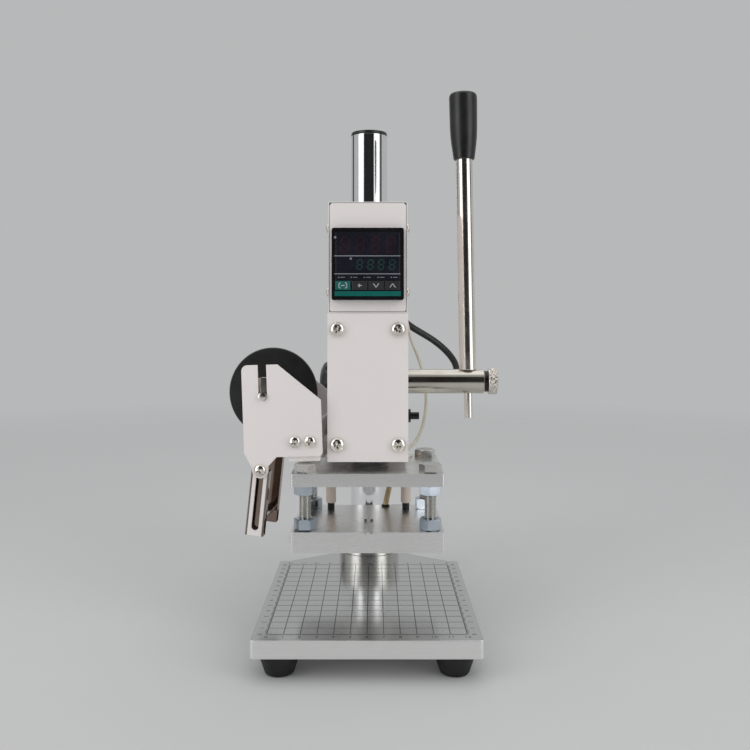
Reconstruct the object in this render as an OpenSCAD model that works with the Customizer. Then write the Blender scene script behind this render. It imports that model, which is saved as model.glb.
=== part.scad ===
// Bench hot foil stamping press, front towards -Y. Millimetres.
// The origin lies on the bench, below the axis of the column.

/* [Base] */
// Width of the ruled base plate
base_w = 138; // [130:1:170]
// Depth of the ruled base plate, front to back, without its tongue
base_d = 160; // [156:1:180]
// Thickness of the base plate
base_t = 11; // [8:0.5:16]
// Distance from the front edge of the base plate to the column's axis
front_reach = 196; // [192:1:202]
// Height of a rubber foot
foot_h = 14; // [10:1:20]
// Diameter of a rubber foot at its top
foot_d = 26; // [22:1:30]
// Inset of the corner feet from the edges of the base plate
foot_inset = 16; // [15:1:24]

/* [Column] */
// Diameter of the column
column_d = 30; // [26:1:32]
// Wall of the column's tube
column_wall = 5; // [3:0.5:7]
// Height of the column's top above the bench
column_top = 366; // [340:1:420]
// Thickness of the column's plastic cap
cap_t = 3; // [2:0.5:6]
// Outer diameter of the column's socket
socket_d = 48; // [46:1:54]
// Height of the column's socket
socket_h = 28; // [20:1:34]

/* [Press plates] */
// Width of the press plate and of the heater plate
plate_w = 100; // [96:1:110]
// Depth of the press plate and of the heater plate
plate_d = 80; // [76:1:88]
// Thickness of the press plate
press_t = 8.5; // [7:0.5:10]
// Thickness of the heater plate
heater_t = 13.5; // [12:0.5:16]
// Free height from the base plate to the heater plate, lever up
day_light = 36.3; // [30:0.1:44]
// Free height between the heater plate and the press plate
plate_gap = 29.5; // [26:0.5:36]
// Inset of the levelling bolts from the sides of the plates
bolt_inset_x = 8.6; // [8.2:0.1:12]
// Inset of the levelling bolts from the front and back of the plates
bolt_inset_y = 9.2; // [8.2:0.1:12]
// Thread diameter of the levelling bolts
bolt_d = 8; // [6:0.5:8]
// Size across the flats of their heads and nuts
bolt_af = 13; // [12:0.5:13.5]

/* [Head] */
// Width of the head, across its side plates
head_w = 53; // [51:0.5:56]
// Height of the head's side plates
head_h = 99.3; // [94:0.1:106]
// Thickness of a side plate
side_t = 12.5; // [11.5:0.1:13]
// Gap between the press plate and the head, lever up
head_gap = 5.4; // [4:0.1:8]
// Thickness of the front cover
cover_t = 2; // [1.5:0.1:3]
// Width of the front cover
cover_w = 54; // [52:0.5:56]
// Side of the square ram
ram_side = 20; // [18:0.5:21]

/* [Lever] */
// Teeth on the pinion
pinion_teeth = 16; // [15:1:17]
// Module of the pinion and the rack
gear_module = 1.5; // [1.4:0.05:1.6]
// Diameter of the pinion shaft
shaft_d = 12; // [10:0.5:13]
// Diameter of the lever's hub
hub_d = 17.5; // [16.5:0.5:20]
// Distance from the middle of the press to the hub's outer end
hub_end = 83.5; // [80:0.5:88]
// Distance from the middle of the press to the lever rod
rod_x = 72; // [70:0.5:74]
// Diameter of the lever rod
rod_d = 12; // [10:0.5:13]
// Diameter of the rod's lower pin
rod_pin_d = 6; // [5:0.5:7]
// Height of the grip's top above the bench
grip_top = 376.9; // [350:0.1:400]
// Length of the grip
grip_l = 48.3; // [40:0.1:60]
// Sideways lean of the rod in degrees
rod_lean = 1; // [0:0.1:2]

/* [Controller] */
// Height of the controller housing
box_h = 74.3; // [66:0.1:84]
// Depth of the controller housing
box_d = 105; // [98:1:106]
// Wall of the controller housing
box_wall = 1.2; // [1:0.1:2]
// Side of the square temperature controller
dial_side = 48; // [46:0.5:50]
// Thickness of the controller's front frame
bezel_t = 5.5; // [4:0.1:7]

/* [Foil holder] */
// Distance between the front faces of the holder's two plates
holder_span = 48; // [44:1:56]
// Thickness of the holder's plates
holder_t = 1.5; // [1.2:0.1:2]
// Diameter of the foil reel's disc
disc_d = 63; // [50:0.5:64]
// Diameter of the reel's axle
axle_d = 5.6; // [5:0.1:5.7]
// Turn of the holder about the vertical, in degrees
holder_yaw = 6; // [4:0.5:6.5]
// Tilt of the holder in its own plane, in degrees
holder_roll = 2; // [0:0.5:2.5]
// Tilt of the guide arms from the holder's upright, in degrees
guide_tilt = 8; // [0:1:10]
// Length of a guide arm
guide_l = 50; // [44:1:56]

/* [Mains lead] */
// Diameter of the mains lead
cord_d = 6; // [5:0.5:7]

/* [Hidden] */

$fn = 64;
// Running clearance of a shaft in its bore, on the radius
running = 0.05;
// Clearance between pieces that are only screwed together, on the radius
loose = 0.2;
// Gap between faces of different bodies that pass each other
pass_gap = 0.3;
// Length by which a cut runs past the face it opens
over = 1;

base_z = foot_h;
table_z = base_z + base_t;
front_y = -front_reach;
back_y = front_y + base_d;
tongue_r = 30;
foot_small_d = 18;
foot_x = base_w / 2 - foot_inset;
foot_y = [front_y + foot_inset, back_y - foot_inset];
foot_places = [[-foot_x, foot_y[0]], [foot_x, foot_y[0]], [-foot_x, foot_y[1]],
  [foot_x, foot_y[1]], [0, 0]];
screw_d = 5;
screw_head_d = 9.5;
screw_head_h = 3.2;

heater_z = table_z + day_light;
heater_top = heater_z + heater_t;
press_z = heater_top + plate_gap;
press_top = press_z + press_t;
head_z = press_top + head_gap;
head_top = head_z + head_h;
channel_w = head_w - 2 * side_t;

// The housing's back lies just in front of the clamp, and the cover before its front
clamp_front = -22;
box_back = clamp_front - 0.5;
box_front = box_back - box_d;
cover_y = box_front - 1.5;
// The press is centred on its ram, behind the cover
ram_y = cover_y + 26;
ram_front = ram_y - ram_side / 2;
ram_back = ram_y + ram_side / 2;
ram_top = head_top - 2;
plate_front = ram_y - plate_d / 2;
bolt_x = plate_w / 2 - bolt_inset_x;
bolt_y = plate_d / 2 - bolt_inset_y;
bolt_head_h = 5.3;
nut_h = 6.5;
stroke = 21;

pitch_r = gear_module * pinion_teeth / 2;
pinion_y = ram_back - gear_module + pitch_r;
pinion_z = head_z + 50.3;
pinion_w = ram_side;
backlash = 0.35;

side_front = cover_y + cover_t;
clamp_back = 38;
clamp_tenon = 20;
side_l = clamp_front - side_front;
cover_screw_x = 20.4;
cover_screw_z = [head_z + 11.5, head_top - 10.9];

module at(places) for (p = places) translate(p) children();
module tube(od, id, h) difference() {
  cylinder(d = od, h = h);
  translate([0, 0, -over]) cylinder(d = id, h = h + 2 * over);
}
// A cylinder that starts at the origin and runs along +X or +Y
module rod_x(d, l) rotate([0, 90, 0]) cylinder(d = d, h = l);
module rod_y(d, l) rotate([-90, 0, 0]) cylinder(d = d, h = l);
module hexagon(af, h) cylinder(d = af / cos(30), h = h, $fn = 6);
// A rectangle with round corners, centred on the origin
module rounded(w, d, r) {
  square([w - 2 * r, d], center = true);
  square([w, d - 2 * r], center = true);
  for (x = [-1, 1], y = [-1, 1]) translate([x * (w / 2 - r), y * (d / 2 - r)]) circle(r);
}

function unit(v) = v / norm(v);
function tangents(p) = [for (i = [0:len(p) - 1]) unit(p[min(i + 1, len(p) - 1)] - p[max(i - 1, 0)])];
// Carries a side direction along the path without twisting it
function carried(t, side, i = 0) = i == len(t) ? [] :
  let (s = unit(side - (side * t[i]) * t[i])) concat([s], carried(t, s, i + 1));
// A round tube swept along a list of points, one ring at each point
module path_tube(p, d, sides) {
  t = tangents(p);
  a = carried(t, abs(t[0][0]) < 0.7 ? [1, 0, 0] : [0, 1, 0]);
  points = [for (i = [0:len(p) - 1], k = [0:sides - 1]) let (b = cross(t[i], a[i]))
    p[i] + d / 2 * (cos(360 * k / sides) * a[i] + sin(360 * k / sides) * b)];
  last = (len(p) - 1) * sides;
  polyhedron(points, concat([[for (k = [0:sides - 1]) k]],
    [for (i = [0:len(p) - 2], k = [0:sides - 1]) let (j = i * sides, m = (k + 1) % sides)
      [j + k, j + sides + k, j + sides + m, j + m]],
    [[for (k = [sides - 1:-1:0]) last + k]]), convexity = 8);
}

// Base and column
taper_x = base_w / 2 - 7;
taper_l = 21;
module base_slab() translate([0, 0, base_z]) {
  translate([0, (front_y + back_y) / 2, 0]) linear_extrude(base_t) rounded(base_w, base_d, 2.5);
  // The tongue tapers from the rear edge to the round seat of the column
  linear_extrude(base_t) polygon([[-taper_x, back_y - 2], [-taper_x, back_y], [-tongue_r, back_y + taper_l],
    [-tongue_r, 0], [tongue_r, 0], [tongue_r, back_y + taper_l], [taper_x, back_y], [taper_x, back_y - 2]]);
  cylinder(r = tongue_r, h = base_t);
}
socket_screw_r = (socket_d + column_d) / 4;
socket_screw_d = 4;
module socket_screw_places() for (a = [30, 150, 270]) rotate(a) translate([socket_screw_r, 0])
  children();
module base_plate() color("gainsboro") difference() {
  base_slab();
  at(foot_places) translate([0, 0, base_z - over])
    cylinder(d = screw_d + 2 * running, h = base_t - 2 + over);
  socket_screw_places() translate([0, 0, base_z - over]) {
    cylinder(d = socket_screw_d + 2 * running, h = base_t + 2 * over);
    cylinder(d = 2 * socket_screw_d, h = socket_screw_d + over);
  }
}
foot_bore_z = 5;
module rubber_feet() color("#1a1a1a") at(foot_places) rotate_extrude() difference() {
  polygon([[0, 0], [foot_small_d / 2 - 1, 0], [foot_small_d / 2, 1], [foot_d / 2 - 0.5, foot_h - 3],
    [foot_d / 2, foot_h - 2], [foot_d / 2, foot_h], [0, foot_h]]);
  translate([-over, -over]) square([screw_head_d / 2 + loose + over, foot_bore_z + over]);
  square([screw_d / 2 + running, foot_h + over]);
}
module pan_head(d, h) rotate_extrude() polygon([[0, 0], [d / 2, 0], [d / 2, h * 0.35],
  [d * 0.42, h * 0.72], [d * 0.27, h * 0.95], [0, h]]);
module cross_recess(d) for (a = [0, 90]) rotate(a)
  cube([d * 0.5, d * 0.11, d * 0.4], center = true);
// A cross-recessed pan-head screw, its head standing up from the origin
module pan_screw(d, head_d, head_h, l) {
  difference() {
    pan_head(head_d, head_h);
    translate([0, 0, head_h]) cross_recess(head_d);
  }
  translate([0, 0, -l]) cylinder(d = d, h = l + head_h * 0.4);
}
module base_screws() color("silver") {
  at(foot_places) translate([0, 0, foot_bore_z]) rotate([180, 0, 0])
    pan_screw(screw_d, screw_head_d, screw_head_h, foot_h - foot_bore_z + base_t - 3);
  socket_screw_places() translate([0, 0, base_z + 0.3]) difference() {
    union() {
      cylinder(d = 2 * socket_screw_d - 0.4, h = socket_screw_d - 0.4);
      cylinder(d = socket_screw_d, h = base_t + 10);
    }
    translate([0, 0, -over]) cylinder(d = 2.9, h = 2 + over, $fn = 6);
  }
}
module column_socket() color("silver") difference() {
  translate([0, 0, table_z]) rotate_extrude() polygon([[column_d / 2 + running, 0],
    [socket_d / 2, 0], [socket_d / 2, socket_h - 1.5], [socket_d / 2 - 1.5, socket_h],
    [column_d / 2 + running, socket_h]]);
  socket_screw_places() translate([0, 0, table_z - over])
    cylinder(d = socket_screw_d + 2 * running, h = 11.5 + over);
}
module column() color("#d9dbdd") translate([0, 0, table_z])
  tube(column_d, column_d - 2 * column_wall, column_top - cap_t - table_z);
module column_cap() color("#141414") translate([0, 0, column_top - cap_t]) {
  cylinder(d1 = column_d, d2 = column_d - 1.2, h = cap_t);
  translate([0, 0, -12]) cylinder(d = column_d - 2 * column_wall - 2 * running, h = 12 + over);
}

// Head: side plates, clamp, cover and slides
bush_d = 18;
side_screw_y = clamp_front - clamp_tenon / 2;
side_screw_inset = 22;
side_screw_z = [head_z + side_screw_inset, head_top - side_screw_inset];
side_screw_d = 6;
side_screw_head_d = 10;
side_screw_head_h = 6;
spring_y = ram_front - 7;
spring_top_z = head_top - 21;
anchor_d = 4;
guide_wall = (channel_w - ram_side) / 2;
set_screw_d = 5;
set_screw_z = head_z + 27.8;
mount_screw_y = [ram_y - 7, ram_y + 10];
mount_screw_z = head_z + 9.8;
module side_plate(side) difference() {
  translate([side > 0 ? channel_w / 2 : -head_w / 2, side_front, head_z])
    cube([side_t, side_l, head_h]);
  for (z = cover_screw_z) translate([side * cover_screw_x, side_front - over, z])
    rod_y(screw_d + 2 * running, 13 + over);
  translate([-head_w, pinion_y, pinion_z]) rod_x(bush_d, 2 * head_w);
  translate([-head_w, spring_y, spring_top_z]) rod_x(anchor_d + 2 * running, 2 * head_w);
  for (z = side_screw_z) {
    translate([-head_w, side_screw_y, z]) rod_x(side_screw_d + 2 * loose, 2 * head_w);
    translate([side > 0 ? head_w / 2 - side_screw_head_h - 0.5 : -head_w / 2 - over, side_screw_y, z])
      rod_x(side_screw_head_d + 2 * loose, side_screw_head_h + 0.5 + over);
  }
  if (side > 0) translate([0, ram_y, set_screw_z]) rod_x(set_screw_d + 2 * running, head_w);
  if (side < 0) for (y = mount_screw_y) translate([-head_w / 2 - over, y, mount_screw_z])
    rod_x(4 + 2 * running, 9 + over);
}
module side_plate_left() color("#e8e4e0") side_plate(-1);
module side_plate_right() color("#e8e4e0") side_plate(1);
pinch_y = 26;
pinch_z = head_z + 37.8;
pinch_d = 8;
clamp_split = 3;
module clamp_block() color("#e8e4e0") difference() {
  union() {
    translate([-head_w / 2, clamp_front, head_z]) cube([head_w, clamp_back - clamp_front, head_h]);
    translate([-channel_w / 2, clamp_front - clamp_tenon, head_z + 3])
      cube([channel_w, clamp_tenon + over, head_h - 6]);
  }
  translate([0, 0, head_z - over]) cylinder(d = column_d + 2 * running, h = head_h + 2 * over);
  translate([-clamp_split / 2, 0, head_z - over])
    cube([clamp_split, clamp_back + over, head_h + 2 * over]);
  translate([-head_w, pinch_y, pinch_z]) rod_x(pinch_d + 2 * running, 2 * head_w);
  for (z = side_screw_z, s = [-1, 1]) translate([s < 0 ? -channel_w / 2 - over : over, side_screw_y, z])
    rod_x(side_screw_d + 2 * running, channel_w / 2);
  // Room for the leads that rise behind the pinion
  translate([-lead_way_w / 2, clamp_front - clamp_tenon - over, head_z - over])
    cube([lead_way_w, 7 + over, head_h + 2 * over]);
}
lead_way_w = 14;
module head_screws() color("silver") for (z = side_screw_z, s = [-1, 1])
  translate([s * (head_w / 2 - side_screw_head_h), side_screw_y, z])
    rotate([0, s * 90, 0]) difference() {
      union() {
        cylinder(d = side_screw_head_d, h = side_screw_head_h);
        translate([0, 0, -15]) cylinder(d = side_screw_d, h = 15 + over);
      }
      translate([0, 0, 3]) hexagon(5, side_screw_head_h);
    }
module front_cover() color("#e8e4e0") difference() {
  translate([-cover_w / 2, cover_y, head_z]) cube([cover_w, cover_t, head_h]);
  for (x = [-1, 1], z = cover_screw_z) translate([x * cover_screw_x, cover_y - over, z])
    rod_y(screw_d + 2 * loose, cover_t + 2 * over);
}
module front_cover_screws() color("silver") for (x = [-1, 1], z = cover_screw_z)
  translate([x * cover_screw_x, cover_y, z]) rotate([90, 0, 0])
    pan_screw(screw_d, 9.8, 3.4, cover_t + 12);
// Two brass angles hold the ram at its sides and at the edges of its front
guide_z = head_z + 8;
guide_h = 34;
module ram_guides() color("#c9a24a") for (s = [-1, 1]) difference() {
  union() {
    translate([s > 0 ? ram_side / 2 + running : -channel_w / 2, ram_front - 4 - running, guide_z])
      cube([guide_wall - running, ram_side + 3, guide_h]);
    translate([s > 0 ? 6.5 : -channel_w / 2, ram_front - 4 - running, guide_z])
      cube([channel_w / 2 - 6.5, 4, guide_h]);
  }
  if (s > 0) translate([channel_w / 2 - 1.5, ram_y, set_screw_z]) rod_x(set_screw_d + 1, 3);
}
module guide_set_screw() color("#20201f") translate([0, ram_y, set_screw_z]) {
  translate([channel_w / 2 - 1.4, 0, 0]) difference() {
    rod_x(set_screw_d, head_w / 2 + 9 - channel_w / 2 + 1.4);
    translate([head_w / 2 + 7.5 - channel_w / 2 + 1.4, 0, 0]) rotate([0, 90, 0]) hexagon(2.5, 4);
  }
  translate([head_w / 2, 0, 0]) rotate([0, 90, 0]) difference() {
    hexagon(8, 3.2);
    translate([0, 0, -over]) cylinder(d = set_screw_d + 2 * running, h = 3.2 + 2 * over);
  }
}
module shaft_bushes() color("#b98a3c") for (s = [-1, 1])
  translate([s > 0 ? channel_w / 2 : -head_w / 2, pinion_y, pinion_z]) rotate([0, 90, 0])
    tube(bush_d, shaft_d + 2 * running, side_t);
module spring_anchor() color("silver") translate([-head_w / 2 + 2, spring_y, spring_top_z])
  rod_x(anchor_d, head_w - 4);

// Controller housing and temperature controller
box_z = head_top + 0.2;
box_top = box_z + box_h;
box_screw_d = 3;
box_screw_l = 3.8;
box_screw_z = [box_z + 14, box_top - 17];
box_screw_y = [box_front + 7, box_back - 7];
gland_x = 20.5;
gland_z = box_z + 14;
gland_hole_d = 8;
dial_z = box_z + 32.4;
dial_body = dial_side - 3.5;
dial_body_d = 62;
key_w = 10;
key_h = 6;
key_pitch = 11;
key_z = dial_z - 14.3;
key_travel = 0.6;
window_w = 42;
window_top = dial_z + 20.4;
window_bottom = dial_z - 10.2;
window_t = 1;
lead_hole_d = 4;
module controller_housing() color("#e8e4e0") difference() {
  translate([-head_w / 2, box_front, box_z]) cube([head_w, box_d, box_h]);
  translate([-head_w / 2 + box_wall, box_front + box_wall, box_z + box_wall])
    cube([head_w - 2 * box_wall, box_d, box_h - 2 * box_wall]);
  translate([-dial_body / 2 - loose, box_front - over, dial_z - dial_body / 2 - loose])
    cube([dial_body + 2 * loose, box_wall + 2 * over, dial_body + 2 * loose]);
  for (z = box_screw_z, y = box_screw_y) translate([-head_w, y, z])
    rod_x(box_screw_d + 2 * running, 2 * head_w);
  // The leads rise into the housing through its floor
  translate([-lead_way_w / 2, clamp_front - clamp_tenon, box_z - over])
    cube([lead_way_w, 7, box_wall + 2 * over]);
}
back_flange = 12;
module housing_back() color("#e8e4e0") difference() {
  translate([-head_w / 2 + box_wall + loose, box_back - back_flange, box_z + box_wall + loose])
    cube([head_w - 2 * (box_wall + loose), back_flange, box_h - 2 * (box_wall + loose)]);
  translate([-head_w / 2 + 2 * box_wall + loose, box_back - back_flange - over,
      box_z + 2 * box_wall + loose])
    cube([head_w - 4 * box_wall - 2 * loose, back_flange + over - box_wall, box_h - 4 * box_wall - 2 * loose]);
  for (z = box_screw_z) translate([-head_w, box_screw_y[1], z])
    rod_x(box_screw_d + 2 * running, 2 * head_w);
  translate([gland_x, 0, gland_z]) mirror([0, 1, 0]) rod_y(gland_hole_d + 2 * running, box_d / 2);
  // The heater lead leaves below the gland
  translate([right_lead_path[0][0], 0, right_lead_path[0][2]]) mirror([0, 1, 0])
    rod_y(lead_hole_d, box_d / 2);
}
module housing_screws() color("silver") for (s = [-1, 1], z = box_screw_z, y = box_screw_y)
  translate([s * head_w / 2, y, z]) rotate([0, s * 90, 0]) pan_screw(box_screw_d, 6, 1.9, box_screw_l);
module controller_case() color("#1b1b1d") translate([-dial_body / 2, box_front - 0.5, dial_z - dial_body / 2])
  difference() {
    cube([dial_body, dial_body_d, dial_body]);
    // Terminal recess in the back
    translate([4, dial_body_d - 6, 4]) cube([dial_body - 8, 6 + over, dial_body - 8]);
  }
function key_x(i) = (i - 1.5) * key_pitch;
module key_pocket(i, gap, depth) translate([key_x(i) - key_w / 2 - gap, box_front - bezel_t - over,
    key_z - key_h / 2 - gap]) cube([key_w + 2 * gap, depth + over, key_h + 2 * gap]);
module controller_bezel() color("#101012") difference() {
  translate([0, box_front - 0.5, dial_z]) rotate([90, 0, 0])
    linear_extrude(bezel_t - 0.5) rounded(dial_side, dial_side, 1.5);
  translate([-window_w / 2 - loose / 2, box_front - bezel_t - over, window_bottom - loose / 2])
    cube([window_w + loose, window_t + over, window_top - window_bottom + loose]);
  for (i = [0:3]) key_pocket(i, 0.15, 2.5);
}
module display_window() color([0.03, 0.03, 0.04]) translate([-window_w / 2, box_front - bezel_t, window_bottom])
  cube([window_w, window_t - 0.05, window_top - window_bottom]);
module key(i) translate([key_x(i) - key_w / 2, box_front - bezel_t - 0.5, key_z - key_h / 2])
  cube([key_w, 2.3, key_h]);
module set_key() color("#0f7f76") key(0);
module shift_key() color("#3a3a3e") key(1);
module down_key() color("#3a3a3e") key(2);
module up_key() color("#3a3a3e") key(3);

// Clamp knob: a domed hand knob with finger hollows, on its pinch stud
knob_d = 44;
knob_t = 15;
module clamp_knob() color("#151515") translate([-head_w / 2 - pass_gap, pinch_y, pinch_z])
  rotate([0, -90, 0]) {
    difference() {
      rotate_extrude() polygon([[0, 0], [9, 0], [9, 2.5], [knob_d / 2 - 1, 2.5],
        [knob_d / 2, 3.5], [knob_d / 2, knob_t - 7], [knob_d / 2 - 2.4, knob_t - 3.4],
        [knob_d / 2 - 7, knob_t - 0.9], [knob_d / 2 - 12, knob_t], [0, knob_t]]);
      for (a = [0:45:315]) rotate(a) translate([knob_d / 2 + 5.5, 0, -over])
        cylinder(d = 15, h = knob_t + 2 * over);
    }
    translate([0, 0, -head_w + 4]) cylinder(d = pinch_d, h = head_w);
  }

// Ram, plates and heater
tooth_pitch = PI * gear_module;
tooth_half = tooth_pitch / 4 - backlash / 4;
flank = tan(20);
tip_h = gear_module;
root_h = 1.25 * gear_module;
rack_top_teeth = 8;
rack_low_teeth = 4;
// A rack tooth's outline, its pitch line on x = 0 and its tip towards +x
module rack_tooth() polygon([[-root_h, -tooth_half - flank * root_h], [tip_h, -tooth_half + flank * tip_h],
  [tip_h, tooth_half - flank * tip_h], [-root_h, tooth_half + flank * root_h]]);
module ram() color("silver") {
  difference() {
    translate([-ram_side / 2, ram_front, press_top]) cube([ram_side, ram_side, ram_top - press_top]);
    translate([-ram_side / 2 - over, ram_back - gear_module - root_h, pinion_z - tooth_pitch * rack_low_teeth])
      cube([ram_side + 2 * over, 2 * gear_module + root_h,
        tooth_pitch * (rack_low_teeth + rack_top_teeth)]);
    at(ram_screw_places) translate([0, 0, press_top - over]) cylinder(d = screw_d + 2 * running, h = 16 + over);
    translate([0, ram_front - over, spring_low_z]) rod_y(3 + 2 * running, 10);
  }
  for (i = [-rack_low_teeth:rack_top_teeth - 1]) translate([-ram_side / 2, ram_back - gear_module,
      pinion_z + (i + 0.5) * tooth_pitch]) rotate([90, 0, 90]) linear_extrude(ram_side) rack_tooth();
}
ram_screw_places = [[-5.5, ram_y - 5.5, 0], [5.5, ram_y - 5.5, 0], [-5.5, ram_y + 4.7, 0], [5.5, ram_y + 4.7, 0]];
spring_low_z = head_z + 50;
bolt_places = [for (x = [-1, 1], y = [-1, 1]) [x * bolt_x, ram_y + y * bolt_y, 0]];
sleeve_x = 27.2;
sleeve_y = ram_y + 26;
sleeve_d = 7.2;
module slab(z, t) translate([0, ram_y, z]) linear_extrude(t) rounded(plate_w, plate_d, 1.2);
module press_plate() color("silver") difference() {
  slab(press_z, press_t);
  at(bolt_places) translate([0, 0, press_z - over]) cylinder(d = bolt_d + 2 * running, h = press_t + 2 * over);
  at(ram_screw_places) translate([0, 0, press_z - over]) {
    cylinder(d = screw_d + 2 * running, h = press_t + 2 * over);
    cylinder(d = screw_head_d, h = 4 + over);
  }
  for (x = [-sleeve_x, sleeve_x]) translate([x, sleeve_y, press_z - over])
    cylinder(d = sleeve_d + 2, h = press_t + 2 * over);
}
module ram_screws() color("#3a3a3a") at(ram_screw_places) translate([0, 0, press_z + 0.6]) difference() {
  union() {
    cylinder(d = screw_head_d - 2 * loose, h = 3.4);
    cylinder(d = screw_d, h = press_t + 14);
  }
  translate([0, 0, -over]) cylinder(d = 4.4, h = 2.4 + over, $fn = 6);
}
module hex_head(af, h) intersection() {
  hexagon(af, h);
  cylinder(d1 = af * 1.32, d2 = af * 0.98, h = h);
}
module levelling_bolts() color("silver") at(bolt_places) {
  translate([0, 0, press_top]) hex_head(bolt_af, bolt_head_h);
  translate([0, 0, heater_top - 8]) cylinder(d = bolt_d, h = press_top - heater_top + 8 + over);
}
module nut(h) difference() {
  hexagon(bolt_af, h);
  translate([0, 0, -over]) cylinder(d = bolt_d + 2 * running, h = h + 2 * over);
}
module levelling_nuts() color("#aab7c4") at(bolt_places) {
  translate([0, 0, press_z - nut_h]) nut(nut_h);
  translate([0, 0, heater_top]) nut(nut_h + 1);
}
heater_bore_d = 10;
heater_bore_l = 66;
heater_bore_x = [-sleeve_x, sleeve_x];
heater_bore_z = heater_z + heater_t / 2 - 0.4;
boot_d = 5;
boot_low = heater_bore_z + heater_bore_d / 2 + running;
groove_w = 1.7;
groove_l = 36;
probe_x = 12.6;
probe_y = ram_y + plate_d / 2 - 5;
probe_d = 4.5;
module heater_plate() color("silver") difference() {
  slab(heater_z, heater_t);
  at(bolt_places) translate([0, 0, heater_top - 9]) cylinder(d = bolt_d + 2 * running, h = 9 + over);
  for (x = heater_bore_x) {
    translate([x, ram_y + plate_d / 2 + over, heater_bore_z]) mirror([0, 1, 0])
      rod_y(heater_bore_d, heater_bore_l + over);
    translate([x, sleeve_y, heater_bore_z]) cylinder(d = boot_d + loose, h = heater_t);
  }
  for (x = [-1, 1]) translate([0.4 + x * 2.1 - groove_w / 2, plate_front - over, heater_top - 1.2])
    cube([groove_w, groove_l + over, 1.2 + over]);
  translate([probe_x, probe_y, heater_top - 8]) cylinder(d = probe_d + 2 * running, h = 8 + over);
}
// A cartridge fills its bore from behind, its two leads leave upwards
module cartridge_heaters() color("#8d8a83") for (x = heater_bore_x)
  translate([x, ram_y + plate_d / 2 - 2, heater_bore_z]) mirror([0, 1, 0])
    rod_y(heater_bore_d - 2 * running, heater_bore_l - 3);
// Leads are chosen points, counted from the press plate, the head or the housing's back
function from_press(p) = [for (q = p) q + [0, ram_y, press_top]];
function from_head(p) = [for (q = p) q + [0, clamp_front, head_z]];
function from_box(p) = [for (q = p) q + [0, box_back, box_z]];
// The probe's sheath rises behind the press plate, then up inside the head
probe_path = concat(from_press([[probe_x, 35, -37.8], [13.2, 36, -32.8], [15.6, 40.2, -24.8],
  [17.4, 43.2, -16.8], [16.6, 44.6, -8.8], [13, 45.6, -0.8]]), from_head([[10.2, -34.6, 1.8],
  [8.8, -34, 11.8], [7.6, -32, 27.8], [7, -28, 43.8], [5.6, -23, 59.8], [4, -18, 75.8]]),
  from_box([[3, -16, -7.7], [3, -16, 20.3]]));
module thermocouple() color("#b48a4e") {
  translate([probe_x, probe_y, heater_top - 7.5]) cylinder(d = probe_d, h = 8);
  path_tube(probe_path, probe_d - 0.5, 10);
}
sleeve_low = heater_top + 5;
sleeve_top = press_top + 2;
module lead_sleeves() {
  color("#e3cdb6") for (x = [-sleeve_x, sleeve_x]) translate([x, sleeve_y, sleeve_low])
    cylinder(d = sleeve_d, h = sleeve_top - sleeve_low);
  color("#0d0d0d") for (x = [-sleeve_x, sleeve_x]) translate([x, sleeve_y, boot_low])
    cylinder(d = boot_d, h = sleeve_low - boot_low + loose);
}
module spring_post() color("silver") {
  translate([0, ram_front - 9.5, spring_low_z]) rod_y(3, 17);
  translate([0, ram_front - 10.5, spring_low_z]) rod_y(6, 1.2);
}
spring_wire = 1;
spring_od = 8;
spring_turns = 11;
spring_ends = [spring_low_z + 5.2, spring_top_z - 5.7];
spring_ring_low = 2.2;
spring_ring_top = 2.7;
module return_spring() color("silver") {
  path_tube([for (i = [0:12 * spring_turns]) let (a = 30 * i) [(spring_od - spring_wire) / 2 * cos(a),
    spring_y + (spring_od - spring_wire) / 2 * sin(a),
    spring_ends[0] + (spring_ends[1] - spring_ends[0]) * i / (12 * spring_turns)]], spring_wire, 6);
  translate([0, spring_y, spring_low_z]) rotate([90, 0, 0]) rotate_extrude()
    translate([spring_ring_low, 0]) circle(d = spring_wire);
  translate([0, spring_y, spring_top_z]) rotate([0, 90, 0]) rotate_extrude()
    translate([spring_ring_top, 0]) circle(d = spring_wire);
  // Straight shanks from the end coils to the rings
  translate([0, spring_y, spring_low_z + spring_ring_low]) cylinder(d = spring_wire, h = 3.2);
  translate([0, spring_y, spring_ends[1]]) cylinder(d = spring_wire, h = 3.1);
  for (z = spring_ends) translate([0, spring_y, z]) rod_x(spring_wire, (spring_od - spring_wire) / 2);
}
// The right lead hangs outside the head, the left one rises inside it
lead_d = 2.4;
right_lead_path = concat(from_box([[8, -3.5, 7.3], [8.6, 0.9, 7.3], [13, 3.7, 6.9], [19, 4.1, 6.1],
  [24, 4.1, 4.9], [28, 4, 1.5], [30.4, 3.8, -5.7], [31.6, 3.5, -13.7], [33.8, 2.7, -21.7],
  [38, 0.7, -31.7]]), from_head([[41.8, -3.4, 56.8], [44, -9, 45.8], [44.8, -17, 34.8]]),
  from_press([[43.2, 53, 27.2], [39.6, 43, 16.6], [34.8, 34, 9.6], [30, 27.6, 6.8], [27.8, 26.2, 5.2],
  [sleeve_x, 26, 3.6], [sleeve_x, 26, 2]]));
left_lead_path = concat(from_press([[-sleeve_x, 26, 2], [-sleeve_x, 26, 2.6], [-26.5, 26.6, 3.6],
  [-24.6, 28.2, 4], [-20, 32.2, 4], [-13.4, 38.2, 4], [-10.6, 40.8, 6], [-9, 43, 10]]),
  from_head([[-8, -35.5, 10.6], [-7.5, -33, 16.8], [-7, -30, 31.8], [-6, -25, 51.8], [-4, -19, 71.8]]),
  from_box([[-3, -16, -7.7], [-3, -16, 20.3]]));
module heater_leads() color("#e3dccb") {
  path_tube(right_lead_path, lead_d, 8);
  path_tube(left_lead_path, lead_d, 8);
}

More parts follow.
